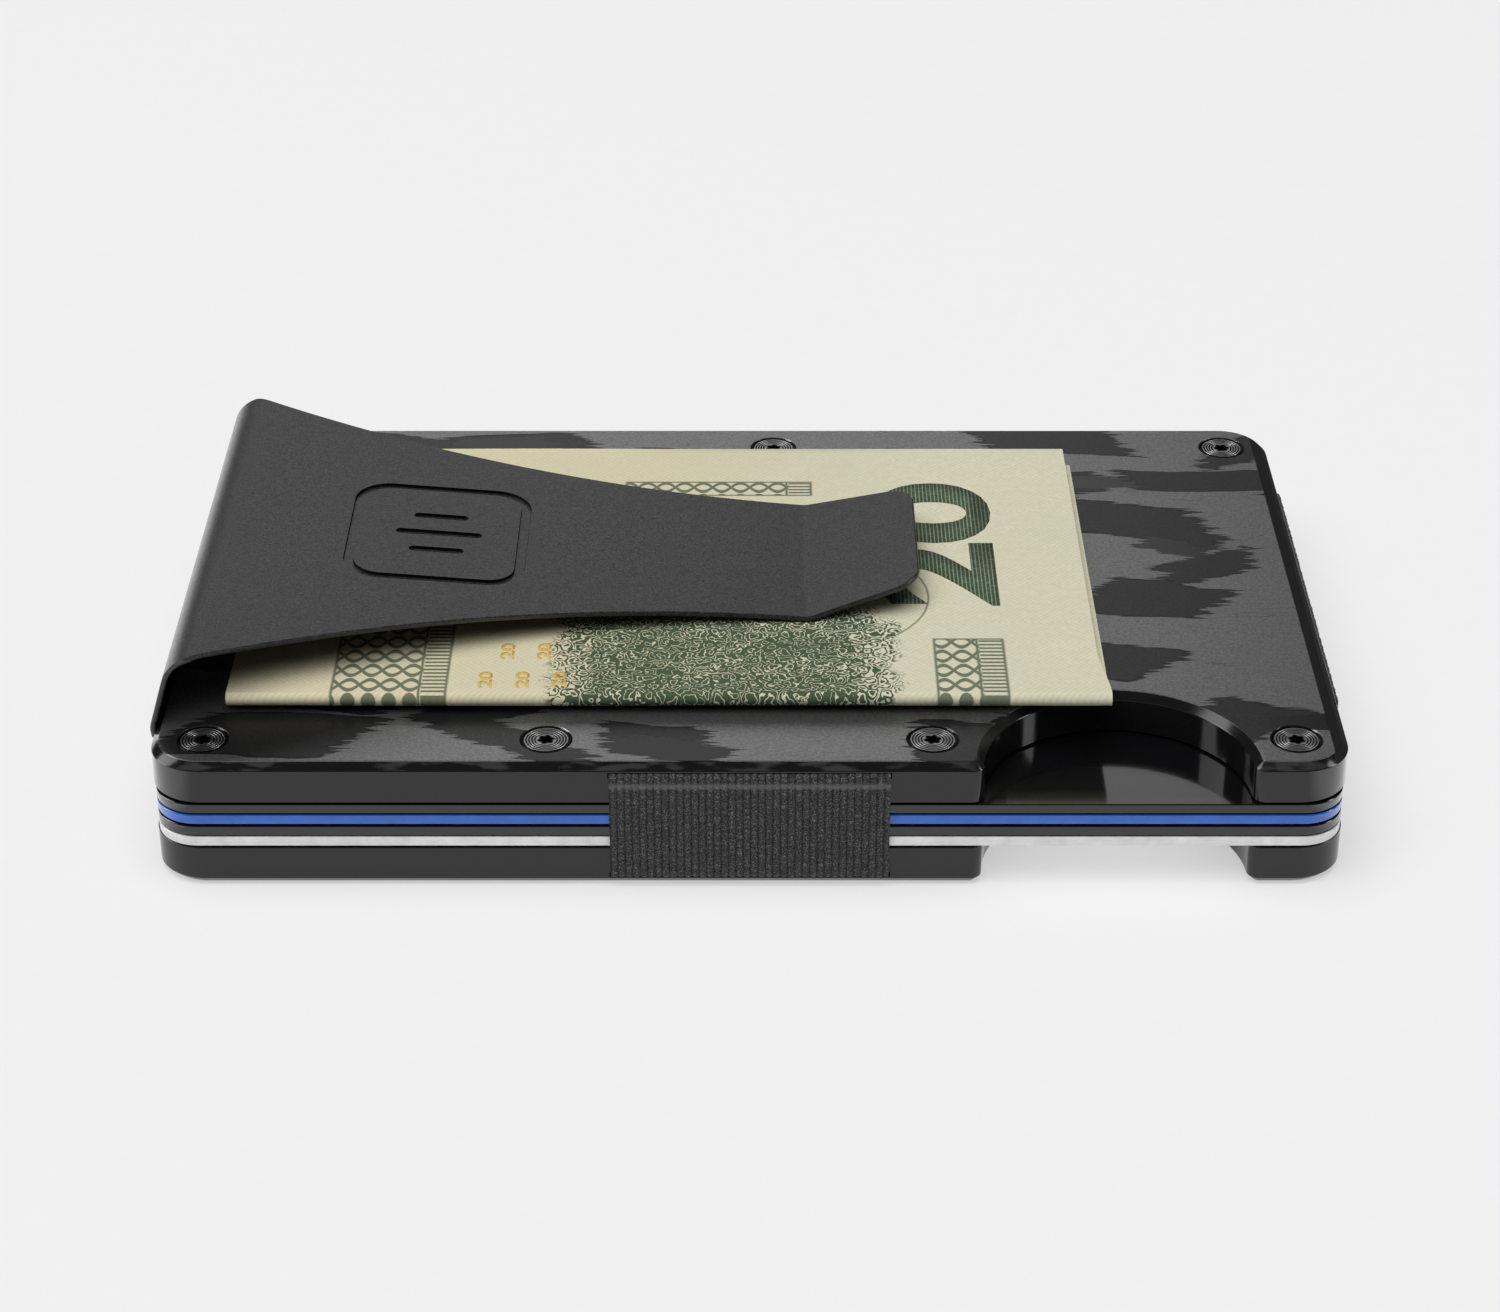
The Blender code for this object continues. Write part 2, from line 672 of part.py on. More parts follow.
def main():
    clear_scene()
    anodised = material("anodised_aluminium", (0.035, 0.036, 0.040), 0.35, 0.9)
    black_steel = material("blackened_steel", (0.02, 0.02, 0.02), 0.25, 0.9)
    powder_coat = material("powder_coated_steel", (0.06, 0.06, 0.065), 0.55)
    webbing = material("woven_elastic", (0.03, 0.03, 0.033), 0.9)
    paper = material("note_paper", (0.62, 0.60, 0.47), 0.85)

    bottom = empty("bottom", (0.0, 0.0, 0.0))
    top = empty("top", (0.0, 0.0, TOTAL_HEIGHT))
    half_of_wallet(bottom, 1, anodised)
    top_holes = half_of_wallet(top, -1, anodised)

    screw = screw_mesh()
    screw.materials.append(black_steel)
    screws(bottom, 1, screw)
    screws(top, -1, screw)

    bands = (
        ("elastic_band_front", FRONT_BAND_WIDTH, (0.0, -HALF_WIDTH, 0.0), -math.pi / 2),
        ("elastic_band_right", WIDE_BAND_WIDTH, (HALF_LENGTH, 0.0, 0.0), 0.0),
        ("elastic_band_back", WIDE_BAND_WIDTH, (BACK_BAND_X, HALF_WIDTH, 0.0), math.pi / 2),
    )
    for name, width, place, turn in bands:
        elastic_band(name, width, place, turn, bottom, webbing)

    money_clip(top, top_holes, powder_coat)
    cards(bottom)
    folded_note(top, paper)


main()
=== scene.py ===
"""The looks of a minimalist card wallet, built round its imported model.

Two chamfered plates with printed faces hold four cards between them. Three knitted elastic bands pull the
plates together, fourteen countersunk screws close them, and a bent steel clip holds a folded note on top.
"""

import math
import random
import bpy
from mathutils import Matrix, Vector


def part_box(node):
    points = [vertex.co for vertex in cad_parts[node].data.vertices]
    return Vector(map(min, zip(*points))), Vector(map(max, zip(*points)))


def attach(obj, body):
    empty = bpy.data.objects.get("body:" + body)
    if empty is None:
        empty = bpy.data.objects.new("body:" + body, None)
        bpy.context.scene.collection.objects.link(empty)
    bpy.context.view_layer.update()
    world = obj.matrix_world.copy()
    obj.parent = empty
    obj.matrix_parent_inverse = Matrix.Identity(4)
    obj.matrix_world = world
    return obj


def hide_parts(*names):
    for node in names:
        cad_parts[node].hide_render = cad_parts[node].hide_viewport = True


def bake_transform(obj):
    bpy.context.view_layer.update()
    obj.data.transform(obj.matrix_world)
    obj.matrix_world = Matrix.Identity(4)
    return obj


bl_info = {
    "name": "Card Wallet",
    "version": (1, 0, 0),
    "blender": (4, 5, 0),
    "location": "3D View > Sidebar > Wallet",
    "description": "Builds the plates, screws, bands, clip, cards and folded note of a metal card wallet",
    "category": "Object",
}

from functools import partial

import bmesh
import bpy
from bpy.props import FloatProperty, FloatVectorProperty, PointerProperty
from mathutils import Matrix, Vector, noise

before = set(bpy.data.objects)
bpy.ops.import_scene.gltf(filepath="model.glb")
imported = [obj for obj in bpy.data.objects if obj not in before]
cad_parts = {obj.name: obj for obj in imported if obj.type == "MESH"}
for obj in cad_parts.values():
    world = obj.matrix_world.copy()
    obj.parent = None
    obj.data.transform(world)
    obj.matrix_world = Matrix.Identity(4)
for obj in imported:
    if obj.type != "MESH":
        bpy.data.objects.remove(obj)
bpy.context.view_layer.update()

MM = 0.001
HALVES = ("top", "bottom")
PLATE_LOW, PLATE_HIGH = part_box("top_outer_plate")
TOP_Z = PLATE_HIGH.z
HALF_LENGTH = PLATE_HIGH.x
HALF_WIDTH = PLATE_HIGH.y
PLATE_HEIGHT = PLATE_HIGH.z - PLATE_LOW.z

# Thumb notch and what the plates leave open, below each outer face
NOTCH_CENTRE = Vector((26.35 * MM, -HALF_WIDTH + 0.4 * MM))
CLIP_RECESS_DEPTH = 0.16 * MM
CLIP_RECESS_HALF = 21.9 * MM
CLIP_RECESS_BOTTOM = 2.16 * MM
CLIP_PASSAGE_TOP = 1.62 * MM
CLIP_PASSAGE_HALF = 20.0 * MM
CLIP_PASSAGE_X = -41.2 * MM
OVERSHOOT = 1.0 * MM

# Screws: the grooves' shape is in shares of their pitch and depth, from the inside out
SCREW_CLEARANCE = 0.06 * MM
SCREW_SUNK = 0.03 * MM
SCREW_SHANK = 0.95 * MM
SCREW_LENGTH = 2.85 * MM
SCREW_POINT = 0.2 * MM
SCREW_BROKEN_EDGE = 0.04 * MM
GROOVES_OFF_DRIVE = 0.16 * MM
GROOVES_OFF_RIM = 0.05 * MM
GROOVE_SHAPE = ((0.0, 0.0), (0.4, 0.0), (0.52, 1.0), (0.88, 1.0))
DRIVE_LOBES = 6
DRIVE_WAVE = 0.3
DRIVE_DEPTH = 0.45 * MM
TURNED_STEPS = 64

# Bands: each one's turn from the +X edge, then their slots, feet, folds, spacing of rows, and the height of
# their pale crease in millimetres
BAND_TURNS = {"front": -math.pi / 2, "right": 0.0, "back": math.pi / 2}
BAND_SLOT = (0.66 * MM, 1.14 * MM)
BAND_SLOT_SPARE = 0.12 * MM
BAND_CHANNEL = 9.5 * MM
BAND_FOOT = BAND_CHANNEL - 0.12 * MM
BAND_FOLD = 0.28 * MM
BAND_ROWS = (1.4 * MM, 0.09 * MM, 1.4 * MM)
BAND_CREASE = (8.35, 8.75)

# The clip's line, on its outer side: X and height above the top plate's face
CLIP_LINE = [
    Vector((x * MM, height * MM))
    for x, height in (
        (-35.5, -2.1),
        (-41.3, -2.1),
        (-43.38, -2.1),
        (-43.38, -0.25),
        (-41.6, 5.74),
        (4.4, 1.99),
        (12.75, 4.35),
    )
]
CLIP_FOOT, CLIP_NECK = CLIP_LINE[:2]
CLIP_CREST, CLIP_CONTACT, CLIP_TIP = CLIP_LINE[4:]
CLIP_BENDS = (0.0, 0.7 * MM, 3.0 * MM, 2.8 * MM, 1.6 * MM)
CLIP_ROWS = [spacing * MM for spacing in (0.2, 0.5, 0.25, 0.3, 1.2, 0.2)]
CLIP_EAR_HALF = 24.9 * MM
CLIP_EAR_CORNER = 1.6 * MM
CLIP_ROOT_HALF = 21.4 * MM
CLIP_CONTACT_HALF = 9.13 * MM
CLIP_TIP_HALF = 7.6 * MM
CLIP_CORNER = 2.0 * MM
CLIP_TAPER_X = -40.3 * MM
CLIP_BEFORE_CREST = 2.0 * MM

# The mark: its ring's outside and where it is on the arm, and each bar's Y and half length
MARK_X = -23.9 * MM
MARK_SIZE = (13.75 * MM, 15.4 * MM)
MARK_BARS = ((-2.7 * MM, 2.1 * MM), (0.0, 3.3 * MM), (2.7 * MM, 2.1 * MM))
MARK_SPARE = 0.06 * MM

# Cards: node, body and colour
CARDS = (
    ("card_1", "first_card", "black"),
    ("card_2", "second_card", "blue"),
    ("card_3", "third_card", "black"),
    ("card_4", "fourth_card", "silver"),
)
CARD_CORNER = 3.18 * MM

# Brush strokes of the print: seed, columns, rows, share that is painted, lengths, widths and slant. The
# margin is how far from the right-hand edge the print stops, in millimetres
MIDDLE_STROKES = (5, 6, 8, 0.68, (8.0, 15.0), (3.2, 6.2), 15.0)
DARK_STROKES = (11, 6, 7, 0.42, (4.5, 8.0), (1.6, 2.8), 18.0)
PRINT_MARGIN = 1.3

# The note's folds, and its ornament in millimetres: low and high X, low and high Y, width of the frame
NOTE_FOLDS = [radius * MM for radius in (0.5, 0.5, 0.2, 0.2, 0.18, 0.18)]
NOTE_COLUMNS = ((-30.5, -22.0, -26.0, 13.5), (13.6, 18.9, -26.0, -11.5), (-10.0, 5.0, 11.6, 14.1))
NOTE_FRAME = 0.2
INK_THICKNESS = 0.012 * MM
LARGE_NUMERAL = ((9.8 * MM, -6.5 * MM), (19.1 * MM, 13.8 * MM))
SMALL_NUMERALS = ((-19.3, -17.6), (-16.6, -17.6), (-13.9, -17.6), (-17.9, -13.4), (-15.2, -13.4))
SMALL_NUMERAL_HALF = (0.52, 1.15)

# Studio: how bright the room looks and how bright it lights, the key light, the floor as gloss sees it in
# millimetres, and the cards of light that gloss mirrors
AIM = Vector((0.0, 0.0, TOP_Z))
ROOM_SHOWN = 0.85
ROOM_GLOW = 0.05
KEY = ("overhead_softbox", (-0.4, -0.6, 2.5), (3.0, 3.0), 90.0)
FLOOR_GLOW = 0.50
GLOSS_CENTRE = (-230.0, 0.0, 0.0)
GLOSS_POOL = (288.0, 304.0)
GLOSS_BESIDE = 2.4
REFLECTORS = (
    ("left_reflector", (-0.60, 0.02, 0.22), (0.30, 0.70), 4.0),
    ("right_reflector", (0.60, -0.10, 0.14), (0.12, 0.50), 1.5),
    ("back_reflector", (-0.18, 0.76, 0.48), (0.72, 0.40), 0.72),
)
LENS = 84.66
SENSOR = 36.0
CAMERA_PLACE = (0.000019, -0.239821, 0.141547)
CAMERA_TILT = math.radians(60.082)

ARC_STEP = 5.0
MERGE = 0.0005 * MM
TINY = 0.002 * MM
UP = (0.0, 0.0, 1.0)


# ---------------------------------------------------------------- settings


def srgb(code):
    """An sRGB hex colour as linear red, green, blue and alpha."""
    parts = [int(code[i : i + 2], 16) / 255 for i in (0, 2, 4)]
    return (*[p / 12.92 if p <= 0.04045 else ((p + 0.055) / 1.055) ** 2.4 for p in parts], 1.0)


def length(name, description, millimetres):
    size = millimetres * MM
    kind = {"unit": "LENGTH", "subtype": "DISTANCE"}
    return FloatProperty(name=name, description=description, default=size, min=0.0, precision=5, **kind)


def colour(name, description, code):
    return FloatVectorProperty(
        name=name, description=description, default=srgb(code), size=4, min=0.0, max=1.0, subtype="COLOR"
    )


class WALLET_PG_sizes(bpy.types.PropertyGroup):
    """Sizes of the wallet's details."""

    corner: length("Plate corner", "Radius of the plates' corners", 3.8)
    chamfer: length("Plate chamfer", "Width of the chamfer round each outer face", 0.56)
    softening: length("Edge softening", "Radius that takes the sharpness off machined edges", 0.05)
    skin: length("Skin", "Thickness of the outer plates under their faces", 1.0)
    rim: length("Rim", "Thickness of the outer plates' rims", 1.5)
    notch: length("Thumb notch", "Radius of the thumb notch", 9.6)
    notch_mouth: length("Notch mouth", "Radius where the notch runs into the long edge", 0.9)
    screw_head: length("Screw head", "Radius of the screw heads", 1.82)
    groove_pitch: length("Groove pitch", "Distance between the turned grooves of a screw head", 0.21)
    groove_depth: length("Groove depth", "Depth of the turned grooves", 0.05)
    drive: length("Screw drive", "Mean radius of the six-lobed recess", 0.5)
    band_thickness: length("Band thickness", "Thickness of the elastic bands", 0.34)
    rib_pitch: length("Rib pitch", "Distance between the ribs of the elastic", 0.53)
    rib_height: length("Rib height", "How far the ribs stand up", 0.14)
    stitch_pitch: length("Stitch pitch", "Distance between stitches along a rib", 0.36)
    clip_thickness: length("Clip thickness", "Thickness of the clip's steel", 0.4)
    clip_softening: length("Clip edge", "Radius of the clip's tumbled edges", 0.09)
    mark_depth: length("Mark depth", "How deep the mark is pressed into the clip", 0.26)
    mark_groove: length("Mark groove", "Width of the mark's grooves", 0.8)
    card_edge: length("Card edge", "Radius of the cards' punched edges", 0.09)
    paper: length("Paper thickness", "Thickness of the note's paper", 0.11)


class WALLET_PG_colours(bpy.types.PropertyGroup):
    """Colours of the wallet's finishes."""

    anodise: colour("Anodising", "Dyed oxide on the plates' edges", "141415")
    print_light: colour("Print, light", "Lightest grey of the printed faces", "9E9E9F")
    print_middle: colour("Print, middle", "Middle grey strokes", "505051")
    print_dark: colour("Print, dark", "Near-black strokes", "111112")
    steel: colour("Screw steel", "Black oxide on the screws", "1C1C1D")
    steel_worn: colour("Worn steel", "Where the oxide is rubbed off the grooves' crests", "B2B2B4")
    clip: colour("Clip coating", "Powder coating on the clip", "19191A")
    elastic: colour("Elastic", "Yarn of the bands", "303031")
    elastic_fleck: colour("Elastic flecks", "Lighter filaments in the yarn", "808082")
    card_black: colour("Card, black", "Black cards", "0E0E10")
    card_blue: colour("Card, blue", "Blue card", "2466CC")
    card_silver: colour("Card, silver", "Silver card", "F4F4F4")
    paper: colour("Paper", "The note's cotton paper", "DDD9BF")
    ink: colour("Ink", "Main ink of the note", "2F4A33")
    ink_light: colour("Light ink", "Numerals in the second ink", "D9B24A")
    floor: colour("Floor", "Matt studio floor", "A9A9A9")


# ---------------------------------------------------------------- mesh tools


def link_object(name, mesh):
    made = bpy.data.objects.new(name, mesh)
    bpy.context.scene.collection.objects.link(made)
    return made


def shade(mesh, sharp=35.0):
    mesh.shade_smooth()
    mesh.set_sharp_from_angle(angle=math.radians(sharp))


def make_object(name, shape, material=None, recalculate=True):
    """An object from a bmesh, with doubles merged and faces turned out."""
    bmesh.ops.remove_doubles(shape, verts=shape.verts, dist=MERGE)
    if recalculate:
        bmesh.ops.recalc_face_normals(shape, faces=shape.faces)
    mesh = bpy.data.meshes.new(name)
    shape.to_mesh(mesh)
    shape.free()
    if material:
        mesh.materials.append(material)
    return link_object(name, mesh)


def settle(piece):
    """Writes the piece's modifiers into its mesh."""
    bpy.context.view_layer.update()
    depsgraph = bpy.context.evaluated_depsgraph_get()
    shaped = bpy.data.meshes.new_from_object(piece.evaluated_get(depsgraph))
    worn = piece.data
    piece.modifiers.clear()
    piece.data = shaped
    bpy.data.meshes.remove(worn)
    shaped.name = piece.name


def cut(piece, *cutters):
    """Takes the cutters' shapes out of the piece and removes the cutters. Faces with many corners are split
    first."""
    for made in (piece, *cutters):
        shape = bmesh.new()
        shape.from_mesh(made.data)
        bmesh.ops.triangulate(shape, faces=[face for face in shape.faces if len(face.verts) > 4])
        shape.to_mesh(made.data)
        shape.free()
    for cutter in cutters:
        for material in piece.data.materials:
            cutter.data.materials.append(material)
        modifier = piece.modifiers.new("Cut", "BOOLEAN")
        modifier.operation = "DIFFERENCE"
        modifier.solver = "MANIFOLD"
        modifier.object = cutter
    settle(piece)
    for cutter in cutters:
        bpy.data.objects.remove(cutter, do_unlink=True)


def weigh_normals(piece):
    """Keeps large flat faces flat where a softened edge meets them."""
    modifier = piece.modifiers.new("Weighted normals", "WEIGHTED_NORMAL")
    modifier.keep_sharp = True


def points_in(geometry):
    """The points among what an operation made."""
    return [item for item in geometry if isinstance(item, bmesh.types.BMVert)]


def points_of(edges):
    """The points of some edges, each once."""
    return list({vertex for edge in edges for vertex in edge.verts})


def take_in(shape, single):
    """Adds one bmesh to another and frees it."""
    mesh = bpy.data.meshes.new("taken_in")
    single.to_mesh(mesh)
    single.free()
    shape.from_mesh(mesh)
    bpy.data.meshes.remove(mesh)


def outline(shape, arcs):
    """A flat face whose edge runs through arcs of (centre, radius, start, sweep), in degrees."""
    first = last = None
    for centre, radius, start, sweep in arcs:
        angle = math.radians(start)
        x, y = centre[0] + radius * math.cos(angle), centre[1] + radius * math.sin(angle)
        corner = shape.verts.new((x, y, 0.0))
        steps = max(2, math.ceil(abs(sweep) / ARC_STEP))
        turn = math.radians(sweep)
        spun = bmesh.ops.spin(shape, geom=[corner], cent=(*centre[:2], 0.0), axis=UP, angle=turn, steps=steps)
        if last is not None:
            shape.edges.new((last, corner))
        first = first or corner
        last = points_in(spun["geom_last"])[0]
    shape.edges.new((last, first))
    # Arcs that run into each other share a point
    bmesh.ops.remove_doubles(shape, verts=shape.verts, dist=MERGE)
    return bmesh.ops.contextual_create(shape, geom=shape.edges[:])["faces"][0]


def rectangle_arcs(half_x, half_y, radius):
    """The four corners of a rounded rectangle, anticlockwise from the front left."""
    x, y = half_x - radius, half_y - radius
    centres = ((-x, -y), (x, -y), (x, y), (-x, y))
    return [(centre, radius, start, 90) for centre, start in zip(centres, (180, 270, 0, 90))]


def thicken(shape, face, low, high):
    """Extrudes a flat face at height zero into a slab from low to high."""
    bmesh.ops.translate(shape, verts=face.verts, vec=(0.0, 0.0, high))
    grown = bmesh.ops.extrude_face_region(shape, geom=[face])["geom"]
    bmesh.ops.translate(shape, verts=points_in(grown), vec=(0.0, 0.0, low - high))


def edges_at(shape, height):
    """The edges that lie at a height."""
    return [e for e in shape.edges if all(abs(v.co.z - height) < TINY for v in e.verts)]


def bevel(shape, edges, width, segments):
    """Chamfers edges, or rounds them when there are more segments."""
    bmesh.ops.bevel(
        shape,
        geom=edges,
        offset=width,
        offset_type="OFFSET",
        affect="EDGES",
        segments=segments,
        profile=0.5,
        material=-1,
        clamp_overlap=False,
    )


def box_cutter(shape, low, high):
    made = bmesh.ops.create_cube(shape, size=1.0)["verts"]
    bmesh.ops.scale(shape, vec=Vector(high) - Vector(low), verts=made)
    bmesh.ops.translate(shape, vec=(Vector(high) + Vector(low)) / 2, verts=made)


def turned(shape, profile):
    """Spins a line of (radius, height) points into a closed body about Z."""
    points = [shape.verts.new((radius, 0.0, height)) for radius, height in profile]
    geometry = points + [shape.edges.new(pair) for pair in zip(points, points[1:])]
    middle = (0.0, 0.0, 0.0)
    bmesh.ops.spin(
        shape, geom=geometry, cent=middle, axis=UP, angle=math.tau, steps=TURNED_STEPS, use_merge=True
    )
    bmesh.ops.remove_doubles(shape, verts=shape.verts, dist=MERGE)


def row_across(shape, half_width, divisions, place):
    """A row of edges along Y at a place in X and Z."""
    start = shape.verts.new((place.x, -half_width, place.y))
    row = []
    for i in range(divisions):
        end = shape.verts.new((place.x, half_width * (2 * (i + 1) / divisions - 1), place.y))
        row.append(shape.edges.new((start, end)))
        start = end
    return row


def far_row(geometry):
    """The row of edges that an extrusion or a spin ends with."""
    ends = set(points_in(geometry))
    return [e for e in geometry if isinstance(e, bmesh.types.BMEdge) and set(e.verts) <= ends]


def carry(shape, row, line, radii, spacings, bend_steps, distance):
    """Carries a row of edges along a line through corners in X and Z. Straights are extruded, and bends are
    spun. The distance layer keeps how far along the line each point is."""
    place = line[0].copy()
    gone = 0.0
    for i, corner in enumerate(line[1:]):
        heading = (corner - line[i]).normalized()
        turn = radius = 0.0
        if i < len(line) - 2:
            leaving = (line[i + 2] - corner).normalized()
            turn = math.atan2(heading.x * leaving.y - heading.y * leaving.x, heading.dot(leaving))
            radius = radii[i]
        end = corner - heading * radius * math.tan(abs(turn) / 2)
        run = (end - place).length
        steps = max(1, math.ceil(run / spacings[i] - 1e-6))
        for _ in range(steps if run > TINY else 0):
            row = far_row(bmesh.ops.extrude_edge_only(shape, edges=row)["geom"])
            step = heading * run / steps
            gone += run / steps
            bmesh.ops.translate(shape, verts=points_of(row), vec=(step.x, 0.0, step.y))
            for vertex in points_of(row):
                vertex[distance] = gone
        place = end
        if radius > 0.0 and abs(turn) > 1e-6:
            side = Vector((-heading.y, heading.x)) * math.copysign(radius, turn)
            centre = end + side
            hub, angle = (centre.x, 0.0, centre.y), -turn / bend_steps
            for _ in range(bend_steps):
                points = points_of(row)
                spun = bmesh.ops.spin(
                    shape, geom=points + row, cent=hub, axis=(0.0, 1.0, 0.0), angle=angle, steps=1
                )
                row = far_row(spun["geom_last"])
                gone += radius * abs(turn) / bend_steps
                for vertex in points_of(row):
                    vertex[distance] = gone
            place = centre + Matrix.Rotation(turn, 2) @ -side


def face_up(shape, towards):
    """Turns an open sheet so that its faces look towards a direction where they lie furthest that way."""
    bmesh.ops.recalc_face_normals(shape, faces=shape.faces)
    outermost = max(shape.faces, key=lambda face: face.calc_center_median().dot(Vector(towards)))
    if outermost.normal.dot(Vector(towards)) < 0:
        bmesh.ops.reverse_faces(shape, faces=shape.faces)


def give_wall(piece, thickness, offset=-1.0):
    wall = piece.modifiers.new("Sheet thickness", "SOLIDIFY")
    wall.thickness = thickness
    wall.offset = offset
    wall.use_even_offset = True
    wall.use_quality_normals = True


# ---------------------------------------------------------------- material tools


def add(tree, kind, *values, output=0, **named):
    """Adds a node and returns one of its outputs. Values and sockets go to its open inputs in order, or by
    name; names in lower case are settings."""
    made = tree.nodes.new(f"ShaderNode{kind}")
    for name, value in named.items():
        if name.islower():
            setattr(made, name, value)
    given = [*zip([socket for socket in made.inputs if socket.enabled], values)]
    by_name = {name.replace("_", " "): value for name, value in named.items() if not name.islower()}
    given += [(made.inputs[name], value) for name, value in by_name.items()]
    for socket, value in given:
        if isinstance(value, bpy.types.NodeSocket):
            tree.links.new(value, socket)
        else:
            socket.default_value = value
    return [socket for socket in made.outputs if socket.enabled][output]


def new_material(name, **constants):
    """A material whose shader has these constant values, what adds its nodes, and its shader."""
    made = bpy.data.materials.new(name)
    made.use_nodes = True
    shader = made.node_tree.nodes["Principled BSDF"]
    for socket, value in constants.items():
        shader.inputs[socket.replace("_", " ")].default_value = value
    made.diffuse_color = shader.inputs["Base Color"].default_value
    return made, partial(add, made.node_tree), shader


def connect(shader, **sockets):
    for name, socket in sockets.items():
        shader.id_data.links.new(socket, shader.inputs[name.replace("_", " ")])


def millimetres(node):
    """Object coordinates in millimetres."""
    return node("VectorMath", node("TexCoord", output=3), Scale=1 / MM, operation="SCALE")


def inside(node, value, low, high, soft):
    """One where a value is between low and high, with a soft edge, and zero outside."""
    middle, half = (low + high) / 2, (high - low) / 2
    away = node("Math", node("Math", value, middle, operation="SUBTRACT"), operation="ABSOLUTE")
    return node("MapRange", away, half - soft, half + soft, 1.0, 0.0)


# ---------------------------------------------------------------- finishes


def stroke_places(seed, columns, rows, share, lengths, widths, slant):
    """Brush strokes scattered over a face: centre, length, width, angle and lean of the ends, in millimetres
    and radians."""
    chance = random.Random(seed)
    step_x, step_y = 2 * HALF_LENGTH / MM / columns, 2 * HALF_WIDTH / MM / rows
    places = []
    for row in range(rows):
        for column in range(columns):
            x = (column + 0.5 + 0.5 * (row % 2) + chance.uniform(-0.3, 0.3)) * step_x - HALF_LENGTH / MM
            y = (row + 0.5 + chance.uniform(-0.25, 0.25)) * step_y - HALF_WIDTH / MM
            size = (chance.uniform(*lengths), chance.uniform(*widths))
            angle = math.radians(chance.gauss(0, slant))
            lean = chance.uniform(-0.35, 0.35)
            if chance.random() < share:
                places.append((x, y, *size, angle, lean))
    return places


def brush_strokes(node, vector, places):
    """How far inside the nearest of the strokes a point is: above zero is paint."""
    nearest = None
    for x, y, long, wide, angle, lean in places:
        where = {"Location": (x, y, 0.0), "Rotation": (0.0, 0.0, angle), "Scale": (long / 2, wide / 2, 1.0)}
        moved = node("Mapping", vector, **where, vector_type="TEXTURE")
        across = node("SeparateXYZ", moved, output=1)
        leaning = node("Math", across, lean, node("SeparateXYZ", moved), operation="MULTIPLY_ADD")
        reach = [node("Math", part, operation="ABSOLUTE") for part in (leaning, across)]
        span = node("Math", *reach, 0.2, operation="SMOOTH_MAX")
        nearest = span if nearest is None else node("Math", nearest, span, operation="MINIMUM")
    return node("Math", 1.0, nearest, operation="SUBTRACT")


def wall_finish(colours):
    """Anodised aluminium, machined and polished: deep black with the gloss of its clear oxide."""
    material, node, shader = new_material("anodised_aluminium_polished", Base_Color=tuple(colours.anodise))
    place = millimetres(node)
    grain = node("TexNoise", place, Scale=4.0, Detail=3.0, Roughness=0.7)
    cloud = node("TexNoise", place, Scale=1.2, Detail=4.0, Roughness=0.6)
    connect(
        shader,
        Base_Color=node("Mix", grain, tuple(colours.anodise), srgb("1B1B1C"), data_type="RGBA"),
        Roughness=node("MapRange", cloud, 0.3, 0.7, 0.07, 0.11),
        Normal=node("Bump", Height=grain, Distance=0.002 * MM, Strength=0.5),
    )
    return material


def smeared_by_bristles(node, place):
    """Places smeared along the brush, and its bristles, which are 0.15 mm apart and leave ragged ends of 1 to
    2 mm."""
    drawn_out = node("Mapping", place, Scale=(0.07, 2.4, 0.0))
    bristles = node("TexNoise", drawn_out, Scale=1.0, Detail=4.0, Roughness=0.65)
    wander = node("TexNoise", node("Mapping", place, Scale=(0.1, 0.2, 0.0)), Scale=1.0, Detail=2.0)
    waving = node("MapRange", wander, 0.2, 0.8, -0.7, 0.7)
    ragged = node("Math", node("MapRange", bristles, 0.25, 0.75, -1.8, 1.8), waving)
    smeared = node("VectorMath", place, node("CombineXYZ", ragged, waving), operation="ADD")
    return node("Mapping", smeared, Scale=(1.0, 1.0, 0.0)), bristles


def brushed_paint(node, flat, grain, colours):
    """The print's colour, and where it is near-black."""
    tones = colours.print_light, colours.print_middle, colours.print_dark
    light, middle, dark = (tuple(tone) for tone in tones)
    middle_paint = brush_strokes(node, flat, stroke_places(*MIDDLE_STROKES))
    dark_paint = brush_strokes(node, flat, stroke_places(*DARK_STROKES))
    in_middle = node("MapRange", middle_paint, 0.0, 0.03)
    in_dark = node("MapRange", dark_paint, 0.0, 0.04)
    # The edge of thick paint has a dark ridge about 0.1 mm wide
    near_edge = node("MapRange", middle_paint, 0.04, 0.10, 0.5, 0.0)
    ridge = node("Math", in_middle, near_edge, operation="MULTIPLY")
    # Single hairs leave thin curved lines, as the contours of a drawn-out cloud
    drawn_out = node("Mapping", flat, Rotation=(0.0, 0.0, 0.2), Scale=(0.03, 0.22, 0.0))
    cloud = node("TexNoise", drawn_out, Scale=1.0, Detail=2.0)
    hairs = node("MapRange", node("Math", cloud, 0.035, operation="PINGPONG"), 0.0, 0.0016, 1.0, 0.0)
    patches = node("MapRange", node("TexNoise", flat, Scale=0.16, Detail=2.0), 0.45, 0.6, 0.0, 0.6)
    hairs = node("Math", hairs, patches, operation="MULTIPLY")
    painted = light
    for share, tone in ((hairs, middle), (in_middle, middle), (ridge, dark), (in_dark, dark)):
        painted = node("Mix", share, painted, tone, data_type="RGBA")
    speckle = node("MapRange", grain, 0.35, 0.7, 0.0, 0.45)
    return node("Mix", speckle, painted, srgb("202021"), data_type="RGBA"), in_dark


